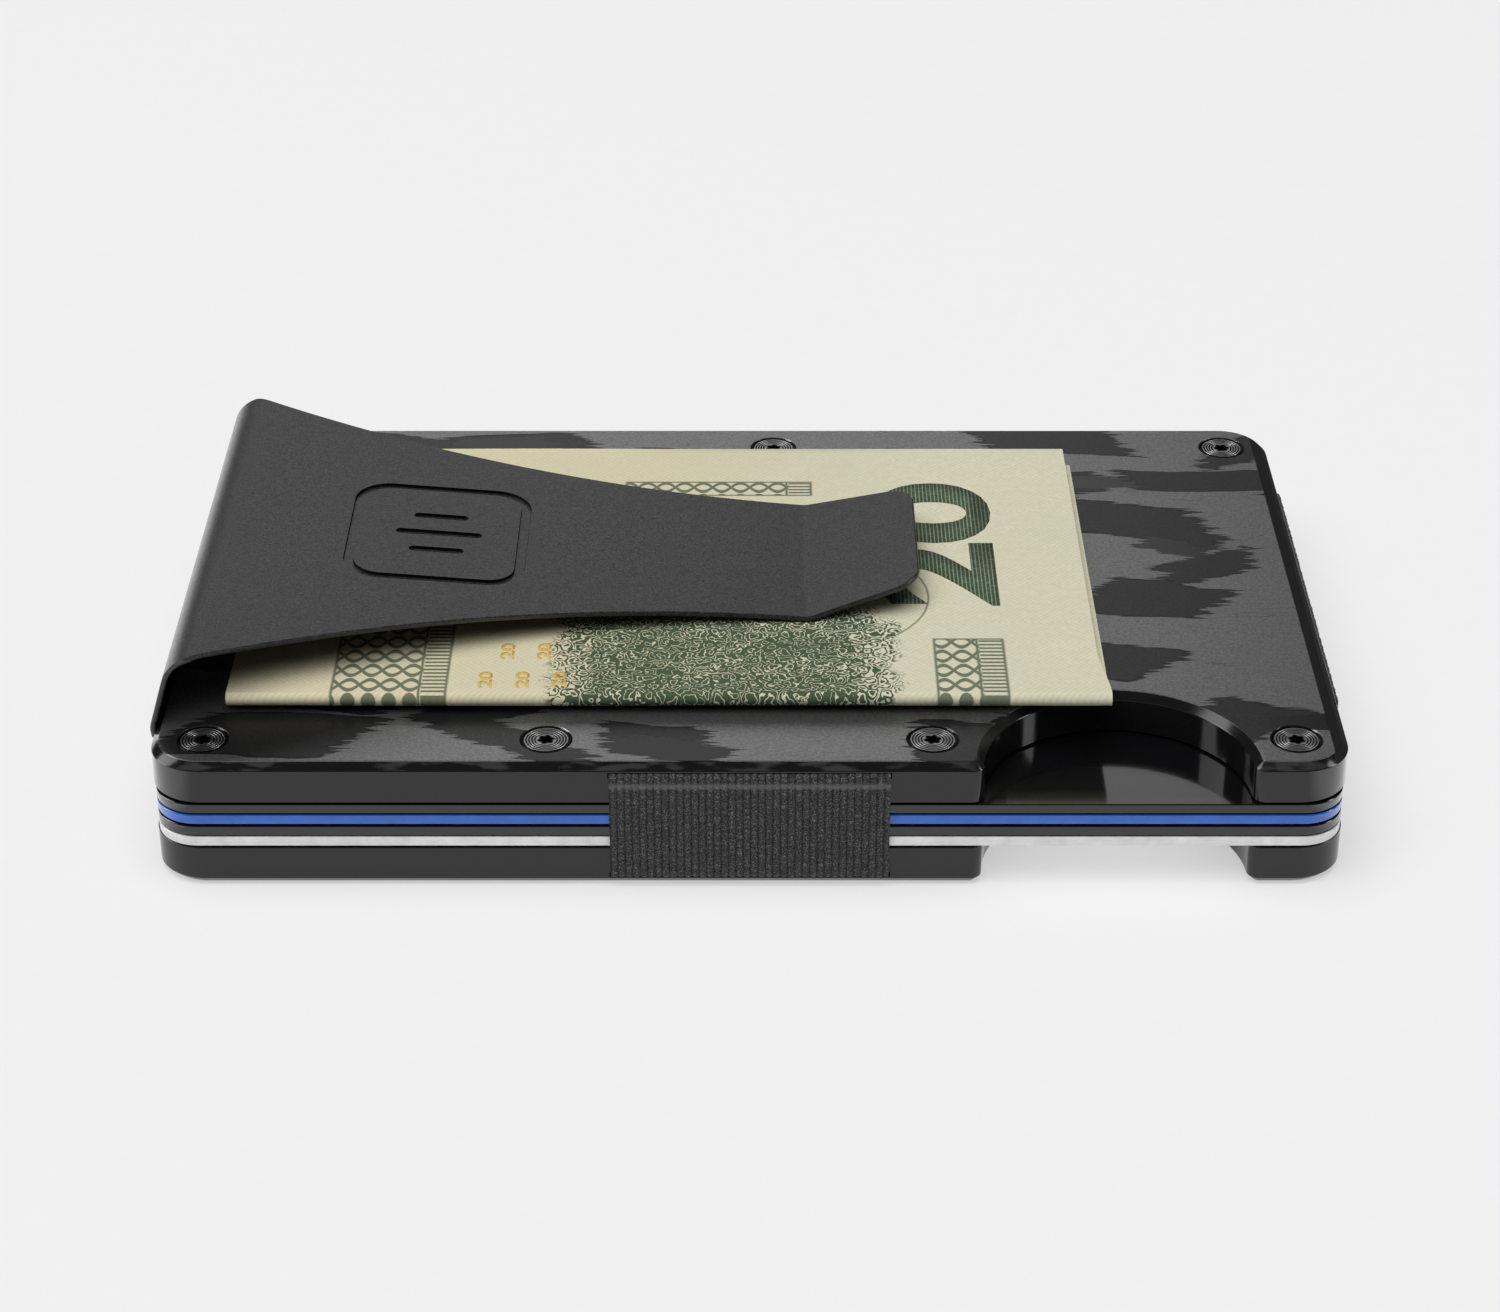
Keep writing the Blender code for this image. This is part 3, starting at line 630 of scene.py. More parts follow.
def print_finish(colours):
    """Anodised aluminium with its oxide brushed through: satin greys that catch the light like metal, under
    near-black dabs, with a plain black chamfer round them."""
    material, node, shader = new_material(
        "anodised_aluminium_brushed", Base_Color=tuple(colours.print_middle), Specular_IOR_Level=0.3
    )
    place = millimetres(node)
    flat, bristles = smeared_by_bristles(node, place)
    grain = node("TexNoise", place, Scale=5.0, Detail=3.0, Roughness=0.75)
    painted, in_dark = brushed_paint(node, flat, grain, colours)
    x, y, z = (node("SeparateXYZ", place, output=axis) for axis in range(3))
    # A little of the print runs over the front chamfer
    front = node("MapRange", y, -HALF_WIDTH / MM + 0.7, -HALF_WIDTH / MM + 0.5)
    spots = node("TexNoise", node("Mapping", place, Scale=(0.3, 1.2, 1.2)), Scale=1.0, Detail=4.0)
    runs = node("Math", front, node("MapRange", spots, 0.5, 0.6), operation="MULTIPLY")
    runs = node("Math", runs, 0.7, operation="MULTIPLY")
    chamfer = node("Mix", runs, tuple(colours.anodise), srgb("3C3C3D"), data_type="RGBA")
    # The print stops short of the right-hand chamfer, which is duller than the others
    side = node("MapRange", x, HALF_LENGTH / MM - PRINT_MARGIN, HALF_LENGTH / MM - PRINT_MARGIN + 0.08)
    middle = TOP_Z / MM / 2
    outwards = node("Math", node("Math", z, middle, operation="SUBTRACT"), operation="ABSOLUTE")
    face = node("MapRange", outwards, middle - 0.05, middle - 0.02)
    face = node("Math", face, side, operation="SUBTRACT", use_clamp=True)
    metal = node("Math", face, node("MapRange", in_dark, 0.0, 1.0, 0.88, 0.0), operation="MULTIPLY")
    satin = node("Mix", in_dark, 0.37, 0.2, data_type="FLOAT")
    polish = node("Mix", side, 0.16, 0.75, data_type="FLOAT")
    tooth = node("MapRange", face, 0.0, 1.0, 0.05, 0.5)
    relief = node("Math", node("Math", grain, bristles), tooth, operation="MULTIPLY")
    connect(
        shader,
        Base_Color=node("Mix", face, chamfer, painted, data_type="RGBA"),
        Metallic=metal,
        Roughness=node("Mix", face, polish, satin, data_type="FLOAT"),
        Normal=node("Bump", Height=relief, Distance=0.02 * MM, Strength=0.5),
    )
    return material


def liner_finish(colours):
    """Anodised aluminium, bead-blasted: a dull even black with a fine sparkle."""
    material, node, shader = new_material("anodised_aluminium_blasted", Metallic=1.0)
    place = millimetres(node)
    grain = node("TexNoise", place, Scale=6.0, Detail=3.0, Roughness=0.6)
    cloud = node("TexNoise", place, Scale=0.3)
    sparkle = node("MapRange", grain, 0.35, 0.7)
    connect(
        shader,
        Base_Color=node("Mix", sparkle, tuple(colours.anodise), srgb("4C4D50"), data_type="RGBA"),
        Roughness=node("MapRange", cloud, 0.3, 0.7, 0.38, 0.48),
        Normal=node("Bump", Height=grain, Distance=0.01 * MM, Strength=0.6),
    )
    return material


def screw_finish(colours):
    """Turned steel with black oxide: satin black with a thin worn gleam on the rings' crests."""
    material, node, shader = new_material("black_oxide_steel_turned", Metallic=1.0)
    mottle = node("TexNoise", millimetres(node), Scale=4.0, Detail=3.0, Roughness=0.6)
    patchy = node("MapRange", mottle, 0.4, 0.75)
    black = node("Mix", patchy, tuple(colours.steel), srgb("2A2A2B"), data_type="RGBA")
    crest = node("MapRange", node("Attribute", attribute_name="crest", output=2), 0.4, 0.8)
    connect(
        shader,
        Base_Color=node("Mix", crest, black, tuple(colours.steel_worn), data_type="RGBA"),
        Roughness=node("MapRange", mottle, 0.3, 0.7, 0.36, 0.5),
        Normal=node("Bump", Height=mottle, Distance=0.004 * MM, Strength=0.4),
    )
    return material


def elastic_finish(colours):
    """Knitted polyester and rubber webbing: matt charcoal yarn with pale filaments on its crowns."""
    yarn, pale = tuple(colours.elastic), tuple(colours.elastic_fleck)
    material, node, shader = new_material(
        "knitted_elastic_webbing",
        Roughness=0.86,
        Specular_IOR_Level=0.3,
        Sheen_Weight=0.12,
        Sheen_Roughness=0.5,
    )
    knit = node("Attribute", attribute_name="knit", output=1)
    crown = node("SeparateXYZ", knit, output=2)
    place = millimetres(node)
    # Filaments are finer than shows, so they are drawn 0.08 mm apart
    drawn_out = node("Mapping", knit, Scale=(11.0, 6.0, 0.0))
    fibres = node("TexNoise", drawn_out, Scale=1.0, Detail=3.0, Roughness=0.7)
    flecks = node("MapRange", node("TexNoise", place, Scale=9.0, Detail=2.0, Roughness=0.8), 0.5, 0.62)
    light = node("Math", flecks, node("MapRange", crown, 0.3, 1.0, 0.15, 0.8), operation="MULTIPLY")
    # The crease is drawn tighter and paler than the row of loops above it
    crease = inside(node, node("SeparateXYZ", place, output=2), *BAND_CREASE, 0.12)
    crease = node("Math", crease, 0.4, operation="MULTIPLY")
    # Painted shade: the yarn is painted darker in the valleys between the ribs and keeps its colour on the
    # crowns, where the pale flecks are also stronger
    tone = node("Mix", node("MapRange", crown, 0.2, 0.9), srgb("101011"), yarn, data_type="RGBA")
    for share in (light, crease):
        tone = node("Mix", share, tone, pale, data_type="RGBA")
    connect(shader, Base_Color=tone, Normal=node("Bump", Height=fibres, Distance=0.06 * MM, Strength=0.8))
    return material


def clip_finish(colours):
    """Powder-coated spring steel: satin charcoal with a fine even orange peel."""
    material, node, shader = new_material("powder_coated_spring_steel")
    place = millimetres(node)
    # Powder grains melt into bumps about 0.2 mm across
    peel = node("TexNoise", place, Scale=2.6, Detail=3.0, Roughness=0.7)
    fine = node("TexNoise", place, Scale=7.0, Detail=2.0, Roughness=0.6)
    grains = node("MapRange", fine, 0.42, 0.6)
    relief = node("Math", fine, 0.5, node("Math", peel, 0.5, operation="MULTIPLY"), operation="MULTIPLY_ADD")
    connect(
        shader,
        Base_Color=node("Mix", grains, tuple(colours.clip), srgb("373738"), data_type="RGBA"),
        Roughness=node("MapRange", peel, 0.3, 0.7, 0.3, 0.4),
        Normal=node("Bump", Height=relief, Distance=0.04 * MM, Strength=0.8),
    )
    return material


def mark_painted_shade_finish():
    """Painted shade for the mark's walls: a near-black that stands in for the shade in its grooves."""
    material, node, shader = new_material("mark_walls_painted_shade", Specular_IOR_Level=0.2)
    shade_mottle = node("TexNoise", millimetres(node), Scale=6.0, Detail=3.0, Roughness=0.7)
    connect(
        shader,
        Base_Color=node("Mix", shade_mottle, srgb("030303"), srgb("0C0C0D"), data_type="RGBA"),
        Roughness=node("MapRange", shade_mottle, 0.3, 0.7, 0.6, 0.75),
        Normal=node("Bump", Height=shade_mottle, Distance=0.02 * MM, Strength=0.5),
    )
    return material


def card_finish(name, base_colour, roughness):
    """Laminated PVC card: a glossy overlay with faint hairlines, over a solid colour."""
    colour, deeper = tuple(base_colour), (*(0.82 * part for part in base_colour[:3]), 1.0)
    material, node, shader = new_material(name, Base_Color=colour, Coat_Weight=0.5, Coat_Roughness=0.05)
    place = millimetres(node)
    drawn_out = node("Mapping", place, Rotation=(0.0, 0.0, 0.35), Scale=(0.08, 6.0, 6.0))
    hairs = node("TexNoise", drawn_out, Scale=1.0)
    mottle = node("TexNoise", place, Scale=0.8, Detail=3.0, Roughness=0.6)
    connect(
        shader,
        Base_Color=node("Mix", node("MapRange", mottle, 0.3, 0.7), colour, deeper, data_type="RGBA"),
        Roughness=node("MapRange", hairs, 0.45, 0.75, roughness, roughness + 0.08),
        Normal=node("Bump", Height=node("Math", hairs, mottle), Distance=0.003 * MM, Strength=0.4),
    )
    return material


def note_columns(node, x, y):
    """Ornament in framed columns: a lattice of engine-turned lines beside a ladder of short bars."""
    swing = node("Math", node("Math", x, 2.1, operation="MULTIPLY"), operation="SINE")
    swing = node("Math", swing, 2.2, operation="MULTIPLY")
    climb = node("Math", y, 3.0, operation="MULTIPLY")
    waves = [node("Math", climb, swing, operation=way) for way in ("ADD", "SUBTRACT")]
    crossing = node("Math", *[node("Math", wave, operation="SINE") for wave in waves], operation="MAXIMUM")
    lattice = node("MapRange", crossing, 0.6, 0.8)
    steps = node("Math", node("Math", y, 12.0, operation="MULTIPLY"), operation="SINE")
    rungs = node("MapRange", steps, -0.2, 0.2)
    shown = None
    for low, high, low_y, high_y in NOTE_COLUMNS:
        nested = []
        for inset in (0.0, NOTE_FRAME):
            across = inside(node, x, low + inset, high - inset, 0.08)
            along = inside(node, y, low_y + inset, high_y - inset, 0.08)
            nested.append(node("Math", across, along, operation="MULTIPLY"))
        column = nested[0]
        edge = node("Math", *nested, operation="SUBTRACT")
        fill = node("Mix", inside(node, x, high - 1.9, high, 0.05), lattice, rungs, data_type="FLOAT")
        rail = inside(node, x, high - 2.15, high - 1.95, 0.06)
        drawn = node("Math", column, node("Math", fill, rail, operation="MAXIMUM"), operation="MULTIPLY")
        drawn = node("Math", drawn, edge, operation="MAXIMUM")
        shown = drawn if shown is None else node("Math", shown, drawn, operation="MAXIMUM")
    return shown


def note_ground(node, place, x, y, colours):
    """The note's paper, tinted under the clip, with its fine background lines and its fibres."""
    fibre = node("TexNoise", place, Scale=2.2, Detail=4.0, Roughness=0.65)
    cloud = node("TexNoise", place, Scale=0.09, Detail=3.0)
    # Background lines are printed finer than shows, so they are drawn 0.5 mm apart in rows 3 mm wide
    zigzag = node("Math", node("Math", y, 3.0, operation="PINGPONG"), x)
    lines = node("Math", node("Math", zigzag, math.tau / 0.5, operation="MULTIPLY"), operation="SINE")
    tone = tuple(colours.paper)
    for share, tint in (
        (node("MapRange", fibre, 0.3, 0.75), "D2CCB4"),
        (node("MapRange", cloud, 0.4, 0.7, 0.0, 0.4), "CBCCB2"),
        (node("MapRange", x, -8.0, 9.0, 0.35, 0.0), "D8C79C"),
        (node("MapRange", lines, 0.1, 0.9, 0.0, 0.2), "A3A888"),
    ):
        tone = node("Mix", share, tone, srgb(tint), data_type="RGBA")
    return tone, fibre


def note_patch(node, place, x, y):
    """An engraved patch: short wavy hatches, denser in the middle."""
    wobble = node("TexNoise", place, Scale=0.35, Detail=3.0, Roughness=0.6)
    off_middle = node("Math", node("Math", x, -1.85, operation="SUBTRACT"), operation="ABSOLUTE")
    sideways = node("MapRange", off_middle, 9.0, 14.5, 1.0, 0.0)
    patch = node("Math", sideways, inside(node, y, -24.0, -7.0, 2.6), operation="MULTIPLY")
    leafy = node("Math", node("MapRange", wobble, 0.0, 1.0, -0.45, 0.45), patch)
    swirl = node("TexNoise", place, Scale=0.9, output=1)
    bent = node("VectorMath", swirl, (1.6, 1.6, 0.0), place, operation="MULTIPLY_ADD")
    curls = node("TexVoronoi", bent, Scale=1.15, voronoi_dimensions="2D")
    scrolls = node("Math", node("Math", curls, 17.0, operation="MULTIPLY"), operation="SINE")
    ease = node("MapRange", leafy, 0.25, 1.0, 0.65, -0.85)
    strokes = node("MapRange", node("Math", scrolls, ease, operation="SUBTRACT"), -0.12, 0.12)
    return node("Math", node("MapRange", leafy, 0.22, 0.4), strokes, operation="MULTIPLY")


def note_finish(colours):
    """Cotton banknote paper: soft, matt and cream, with fine lines and generic ornament in green ink."""
    material, node, shader = new_material("cotton_note_paper", Roughness=0.82, Specular_IOR_Level=0.25)
    place = millimetres(node)
    x, y = (node("SeparateXYZ", place, output=axis) for axis in range(2))
    tone, fibre = note_ground(node, place, x, y, colours)
    hatched = note_patch(node, place, x, y)
    # A thin drawn ring beside the numeral
    level = node("Mapping", place, Scale=(1.0, 1.0, 0.0))
    ring = inside(node, node("VectorMath", level, (5.6, -5.0, 0.0), operation="DISTANCE"), 7.9, 8.05, 0.05)
    for share, strength in ((hatched, 0.95), (note_columns(node, x, y), 0.8), (ring, 0.7)):
        inked = node("Math", share, strength, operation="MULTIPLY")
        tone = node("Mix", inked, tone, tuple(colours.ink), data_type="RGBA")
    relief = node("Math", hatched, 0.3, fibre, operation="MULTIPLY_ADD")
    connect(shader, Base_Color=tone, Normal=node("Bump", Height=relief, Distance=0.03 * MM, Strength=0.45))
    return material


def ink_finish(name, ink, ground):
    """Engraved ink: fine parallel lines that let a little paper through."""
    material, node, shader = new_material(name, Roughness=0.7)
    place = millimetres(node)
    across = node("Math", node("SeparateXYZ", place), math.tau / 0.3, operation="MULTIPLY")
    lines = node("MapRange", node("Math", across, operation="SINE"), 0.2, 0.9, 0.0, 0.28)
    spots = node("TexNoise", place, Scale=4.0, Detail=3.0, Roughness=0.6)
    share = node("Math", lines, node("MapRange", spots, 0.5, 0.8, 0.0, 0.2))
    connect(
        shader,
        Base_Color=node("Mix", share, tuple(ink), tuple(ground), data_type="RGBA"),
        Normal=node("Bump", Height=spots, Distance=0.01 * MM, Strength=0.3),
    )
    return material


def floor_finish(colours):
    """Matt painted board: pale and even, with a barely visible tooth. It glows a little, which lifts its own
    shadows, and gloss sees it as a painted pool of light near the wallet, brighter beyond its ends."""
    material, node, shader = new_material(
        "matt_studio_board_glowing", Roughness=0.95, Specular_IOR_Level=0.1, Emission_Color=(1.0, 1.0, 1.0, 1.0)
    )
    place = millimetres(node)
    grain = node("TexNoise", place, Scale=0.5, Detail=3.0, Roughness=0.6)
    tooth = node("MapRange", grain, 0.2, 0.8)
    base = node("Mix", tooth, tuple(colours.floor), srgb("A7A7A7"), data_type="RGBA")
    # Painted light: for gloss the floor is a pool of glow round GLOSS_CENTRE, stronger beyond the wallet's
    # ends and dark elsewhere
    away = node("VectorMath", place, GLOSS_CENTRE, operation="DISTANCE")
    near = node("MapRange", away, *GLOSS_POOL, 1.08, 0.0, interpolation_type="SMOOTHSTEP")
    sideways = node("Math", node("SeparateXYZ", place), operation="ABSOLUTE")
    beside = node("MapRange", sideways, 46.0, 52.0, 1.0, GLOSS_BESIDE)
    mirrored = node("Math", near, beside, operation="MULTIPLY")
    lit = node("Mix", node("LightPath", output=3), 1.0, mirrored, data_type="FLOAT")
    connect(
        shader,
        Base_Color=node("Mix", lit, (0.0, 0.0, 0.0, 1.0), base, data_type="RGBA"),
        Emission_Strength=node("Math", lit, FLOOR_GLOW, operation="MULTIPLY"),
    )
    return material


# ---------------------------------------------------------------- plates


def plate_arcs(sizes, inset=0.0):
    """The plate's outline with its thumb notch, moved inwards by inset."""
    x, y = HALF_LENGTH - inset, HALF_WIDTH - inset
    radius, mouth = sizes.notch + inset, sizes.notch_mouth - inset
    corners = rectangle_arcs(x, y, sizes.corner - inset)
    rise = -y + max(mouth, 0.0) - NOTCH_CENTRE.y
    if mouth <= 0.0:
        tilt = math.degrees(math.asin(rise / radius))
        return [corners[0], (NOTCH_CENTRE, radius, 180 - tilt, 2 * tilt - 180), *corners[1:]]
    reach = math.sqrt((radius + mouth) ** 2 - rise**2)
    tilt = math.degrees(math.atan2(rise, reach))
    left = ((NOTCH_CENTRE.x - reach, -y + mouth), mouth, -90, 90 - tilt)
    right = ((NOTCH_CENTRE.x + reach, -y + mouth), mouth, 180 + tilt, 90 - tilt)
    return [corners[0], left, (NOTCH_CENTRE, radius, 180 - tilt, 2 * tilt - 180), right, *corners[1:]]


def screw_centres(half):
    """Where a half's screws are, from their nodes."""
    places = {}
    for name in sorted(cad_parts):
        if name.startswith(f"{half}_screw_"):
            low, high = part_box(name)
            places[name] = Vector(((low.x + high.x) / 2, (low.y + high.y) / 2))
    return places


def pocket_cutter(sizes):
    shape = bmesh.new()
    thicken(shape, outline(shape, plate_arcs(sizes, sizes.rim)), -PLATE_HEIGHT - OVERSHOOT, -sizes.skin)
    return make_object("pocket_cutter", shape)


def slot_cutter():
    """The slots that the bands come out of."""
    shape = bmesh.new()
    for edge in BAND_TURNS:
        low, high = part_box(f"elastic_band_{edge}")
        spare = Vector((BAND_SLOT_SPARE, BAND_SLOT_SPARE))
        start, end = low.xy - spare, high.xy + spare
        if edge == "front":
            start.y, end.y = -HALF_WIDTH - OVERSHOOT, -HALF_WIDTH + BAND_CHANNEL
        elif edge == "right":
            start.x, end.x = HALF_LENGTH - BAND_CHANNEL, HALF_LENGTH + OVERSHOOT
        else:
            start.y, end.y = HALF_WIDTH - BAND_CHANNEL, HALF_WIDTH + OVERSHOOT
        box_cutter(shape, (*start, -BAND_SLOT[1]), (*end, -BAND_SLOT[0]))
    return make_object("slot_cutter", shape)


def hole_cutter(sizes, half):
    """Countersinks and shank holes, with a softened mouth."""
    head, shank = sizes.screw_head + SCREW_CLEARANCE, SCREW_SHANK + SCREW_CLEARANCE
    profile = (
        (0.0, OVERSHOOT),
        (head + sizes.softening + OVERSHOOT, OVERSHOOT),
        (head, -sizes.softening),
        (shank, -SCREW_SUNK - sizes.screw_head + SCREW_SHANK),
        (shank, -PLATE_HEIGHT - OVERSHOOT),
        (0.0, -PLATE_HEIGHT - OVERSHOOT),
    )
    shape = bmesh.new()
    for place in screw_centres(half).values():
        single = bmesh.new()
        turned(single, profile)
        bmesh.ops.translate(single, verts=single.verts, vec=(*place, 0.0))
        take_in(shape, single)
    return make_object("hole_cutter", shape)


def clip_cutter():
    """The recess that the clip's wall lies in and the passage for its foot."""
    shape = bmesh.new()
    box_cutter(
        shape,
        (-HALF_LENGTH - OVERSHOOT, -CLIP_RECESS_HALF, -CLIP_RECESS_BOTTOM),
        (-HALF_LENGTH + CLIP_RECESS_DEPTH, CLIP_RECESS_HALF, OVERSHOOT),
    )
    recess = make_object("clip_recess_cutter", shape)
    shape = bmesh.new()
    box_cutter(
        shape,
        (-HALF_LENGTH - OVERSHOOT, -CLIP_PASSAGE_HALF, -PLATE_HEIGHT - OVERSHOOT),
        (CLIP_PASSAGE_X, CLIP_PASSAGE_HALF, -CLIP_PASSAGE_TOP),
    )
    return recess, make_object("clip_passage_cutter", shape)


def outer_plate(half, sizes, walls, face):
    """One tray, made with its face at height zero and looking up, then put in place."""
    shape = bmesh.new()
    thicken(shape, outline(shape, plate_arcs(sizes)), -PLATE_HEIGHT, 0.0)
    bmesh.ops.recalc_face_normals(shape, faces=shape.faces)
    bevel(shape, edges_at(shape, 0.0), sizes.chamfer, 1)
    bevel(shape, edges_at(shape, 0.0) + edges_at(shape, -sizes.chamfer), sizes.softening, 3)
    bevel(shape, edges_at(shape, -PLATE_HEIGHT), sizes.softening, 3)
    piece = make_object(f"{half}_plate_body", shape, walls)
    piece.data.materials.append(face)
    cutters = [pocket_cutter(sizes), slot_cutter(), hole_cutter(sizes, half)]
    if half == "top":
        cutters += clip_cutter()
    cut(piece, *cutters)
    # The print's finish takes the face and its chamfer, and leaves the cones of the countersinks
    for polygon in piece.data.polygons:
        polygon.material_index = int(polygon.normal.z > 0.3 and polygon.center.z > -0.6 * sizes.chamfer)
    if half == "top":
        piece.data.transform(Matrix.Translation((0.0, 0.0, TOP_Z)))
    else:
        piece.data.transform(Matrix.Diagonal((1.0, 1.0, -1.0, 1.0)))
        piece.data.flip_normals()
    shade(piece.data)
    weigh_normals(piece)
    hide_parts(f"{half}_outer_plate")
    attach(piece, f"{half}_half")


class WALLET_OT_outer_plates(bpy.types.Operator):
    """Build both outer plates with their notch, slots, countersinks and clip recess"""

    bl_idname = "wallet.outer_plates"
    bl_label = "Outer Plates"

    def execute(self, context):
        colours = context.scene.wallet_colours
        walls, face = wall_finish(colours), print_finish(colours)
        for half in HALVES:
            outer_plate(half, context.scene.wallet_sizes, walls, face)
        return {"FINISHED"}


class WALLET_OT_inner_plates(bpy.types.Operator):
    """Give the inner plates their bead-blasted finish"""

    bl_idname = "wallet.inner_plates"
    bl_label = "Inner Plates"

    def execute(self, context):
        material = liner_finish(context.scene.wallet_colours)
        for half in HALVES:
            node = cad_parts[f"{half}_inner_plate"]
            node.data.materials.clear()
            node.data.materials.append(material)
        return {"FINISHED"}


# ---------------------------------------------------------------- screws


def screw_profile(sizes):
    """Half of a countersunk screw: its grooved face, cone, shank and tip."""
    head, pitch = sizes.screw_head, sizes.groove_pitch
    start = sizes.drive + GROOVES_OFF_DRIVE
    rings = int((head - GROOVES_OFF_RIM - start) / pitch)
    grooves = [
        (start + (ring + share) * pitch, -SCREW_SUNK - depth * sizes.groove_depth)
        for ring in range(rings)
        for share, depth in GROOVE_SHAPE
    ]
    return [
        (0.0, -SCREW_SUNK),
        *grooves,
        (head - SCREW_BROKEN_EDGE, -SCREW_SUNK),
        (head, -SCREW_SUNK - SCREW_BROKEN_EDGE),
        (SCREW_SHANK, -SCREW_SUNK - head + SCREW_SHANK),
        (SCREW_SHANK, -SCREW_LENGTH + SCREW_POINT),
        (SCREW_SHANK - SCREW_POINT, -SCREW_LENGTH),
        (0.0, -SCREW_LENGTH),
    ]


def mark_crests(mesh, sizes):
    """Keeps on each point of a screw whether it is on the crest of a groove, for the material."""
    crest = mesh.attributes.new("crest", "FLOAT", "POINT")
    inner, outer = sizes.drive + GROOVES_OFF_DRIVE - 0.02 * MM, sizes.screw_head - 2 * GROOVES_OFF_RIM
    for vertex in mesh.vertices:
        on_face = inner < vertex.co.xy.length < outer
        crest.data[vertex.index].value = float(on_face and vertex.co.z > -SCREW_SUNK - TINY)


def drive_cutter(sizes):
    """The six-lobed recess."""
    shape = bmesh.new()
    bmesh.ops.create_circle(shape, cap_ends=True, radius=sizes.drive, segments=12 * DRIVE_LOBES)
    for vertex in shape.verts:
        angle = math.atan2(vertex.co.y, vertex.co.x)
        vertex.co *= 1.0 + DRIVE_WAVE * math.cos(DRIVE_LOBES * angle)
    shape.faces.ensure_lookup_table()
    thicken(shape, shape.faces[0], -DRIVE_DEPTH, OVERSHOOT)
    return make_object("drive_cutter", shape)


class WALLET_OT_screws(bpy.types.Operator):
    """Build the fourteen countersunk screws with turned rings and six-lobed recesses"""

    bl_idname = "wallet.screws"
    bl_label = "Screws"

    def execute(self, context):
        sizes = context.scene.wallet_sizes
        material = screw_finish(context.scene.wallet_colours)
        shape = bmesh.new()
        turned(shape, screw_profile(sizes))
        model = make_object("screw_model", shape, material)
        cut(model, drive_cutter(sizes))
        mark_crests(model.data, sizes)
        chance = random.Random(3)
        for half in HALVES:
            for name, place in screw_centres(half).items():
                mesh = model.data.copy()
                mesh.transform(Matrix.Rotation(chance.uniform(0.0, math.tau), 4, "Z"))
                if half == "bottom":
                    mesh.transform(Matrix.Rotation(math.pi, 4, "X"))
                mesh.transform(Matrix.Translation((*place, TOP_Z if half == "top" else 0.0)))
                shade(mesh, 25.0)
                piece = link_object(f"{name}_turned", mesh)
                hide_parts(name)
                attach(piece, f"{half}_half")
        bpy.data.objects.remove(model, do_unlink=True)
        return {"FINISHED"}


# ---------------------------------------------------------------- elastic bands


def knit_height(across, along, sizes, seed):
    """How far the knit stands up at a place on the band: ribs of separate stitches, from 0 to 1."""
    rib = across / sizes.rib_pitch
    number = math.floor(rib)
    crown = math.sin(math.pi * (rib - number)) ** 0.7
    shift = 0.5 * (number % 2) + 0.35 * noise.noise((number * 1.7, seed, 0.0))
    stitch = along / sizes.stitch_pitch + shift
    loop = abs(math.sin(math.pi * stitch))
    uneven = 0.9 + 0.35 * noise.noise((number * 0.9, stitch * 1.3, seed))
    return max(0.0, crown * (0.72 + 0.28 * loop) * uneven)


def clamped(value):
    return max(0.0, min(1.0, value))


def elastic_band(edge, sizes, material, seed):
    """A ribbed strip folded over one edge. It is made across Y with its fold towards +X, then turned to its
    edge."""
    node = f"elastic_band_{edge}"
    low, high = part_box(node)
    width = high.y - low.y if edge == "right" else high.x - low.x
    out = {"front": -low.y, "right": high.x, "back": high.y}[edge]
    foot = out - BAND_FOOT
    inset = sizes.band_thickness / 2
    fold, top, bottom = out - inset, high.z - inset, low.z + inset
    line = [Vector(corner) for corner in ((foot, top), (fold, top), (fold, bottom), (foot, bottom))]
    shape = bmesh.new()
    layer = shape.verts.layers.float.new("along")
    knit = shape.verts.layers.float_vector.new("knit")
    row = row_across(shape, width / 2, round(width / (sizes.rib_pitch / 5)), line[0])
    carry(shape, row, line, (BAND_FOLD, BAND_FOLD), BAND_ROWS, 5, layer)
    face_up(shape, (1.0, 0.0, 0.0))
    shape.normal_update()
    reach = (line[1] - line[0]).length
    for vertex in shape.verts:
        along = vertex[layer]
        crown = knit_height(vertex.co.y + width / 2, along, sizes, seed)
        vertex[knit] = Vector((vertex.co.y / MM, along / MM, crown))
        near_edge = width / 2 - abs(vertex.co.y)
        # The ribs rise from the hidden feet to the fold and are lower at the selvedge, which frays
        shown = clamped((vertex.co.x - foot - 0.6 * reach) / (0.2 * reach))
        rim = 0.35 + 0.65 * clamped(near_edge / (0.35 * MM))
        fray = 0.05 * MM * noise.noise((along / (0.25 * MM), seed, 3.0)) if near_edge < TINY else 0.0
        vertex.co += vertex.normal * (crown - 0.75) * sizes.rib_height * shown * rim
        vertex.co.y += fray
    piece = make_object(f"{node}_knit", shape, material, recalculate=False)
    give_wall(piece, sizes.band_thickness - 0.06 * MM, 0.0)
    settle(piece)
    middle = (low + high) / 2
    along_edge = Vector((0.0, middle.y, 0.0)) if edge == "right" else Vector((middle.x, 0.0, 0.0))
    piece.data.transform(Matrix.Translation(along_edge) @ Matrix.Rotation(BAND_TURNS[edge], 4, "Z"))
    shade(piece.data, 60.0)
    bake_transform(piece)
    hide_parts(node)


class WALLET_OT_elastic_bands(bpy.types.Operator):
    """Build the three knitted elastic bands"""

    bl_idname = "wallet.elastic_bands"
    bl_label = "Elastic Bands"

    def execute(self, context):
        material = elastic_finish(context.scene.wallet_colours)
        for seed, edge in enumerate(BAND_TURNS):
            elastic_band(edge, context.scene.wallet_sizes, material, float(seed))
        return {"FINISHED"}


# ---------------------------------------------------------------- money clip


def rounded_end(distance, half, radius):
    """Half the width at a distance from an end whose corners are rounded."""
    if distance >= radius:
        return half
    return half - radius + math.sqrt(max(0.0, radius**2 - (radius - max(distance, 0.0)) ** 2))


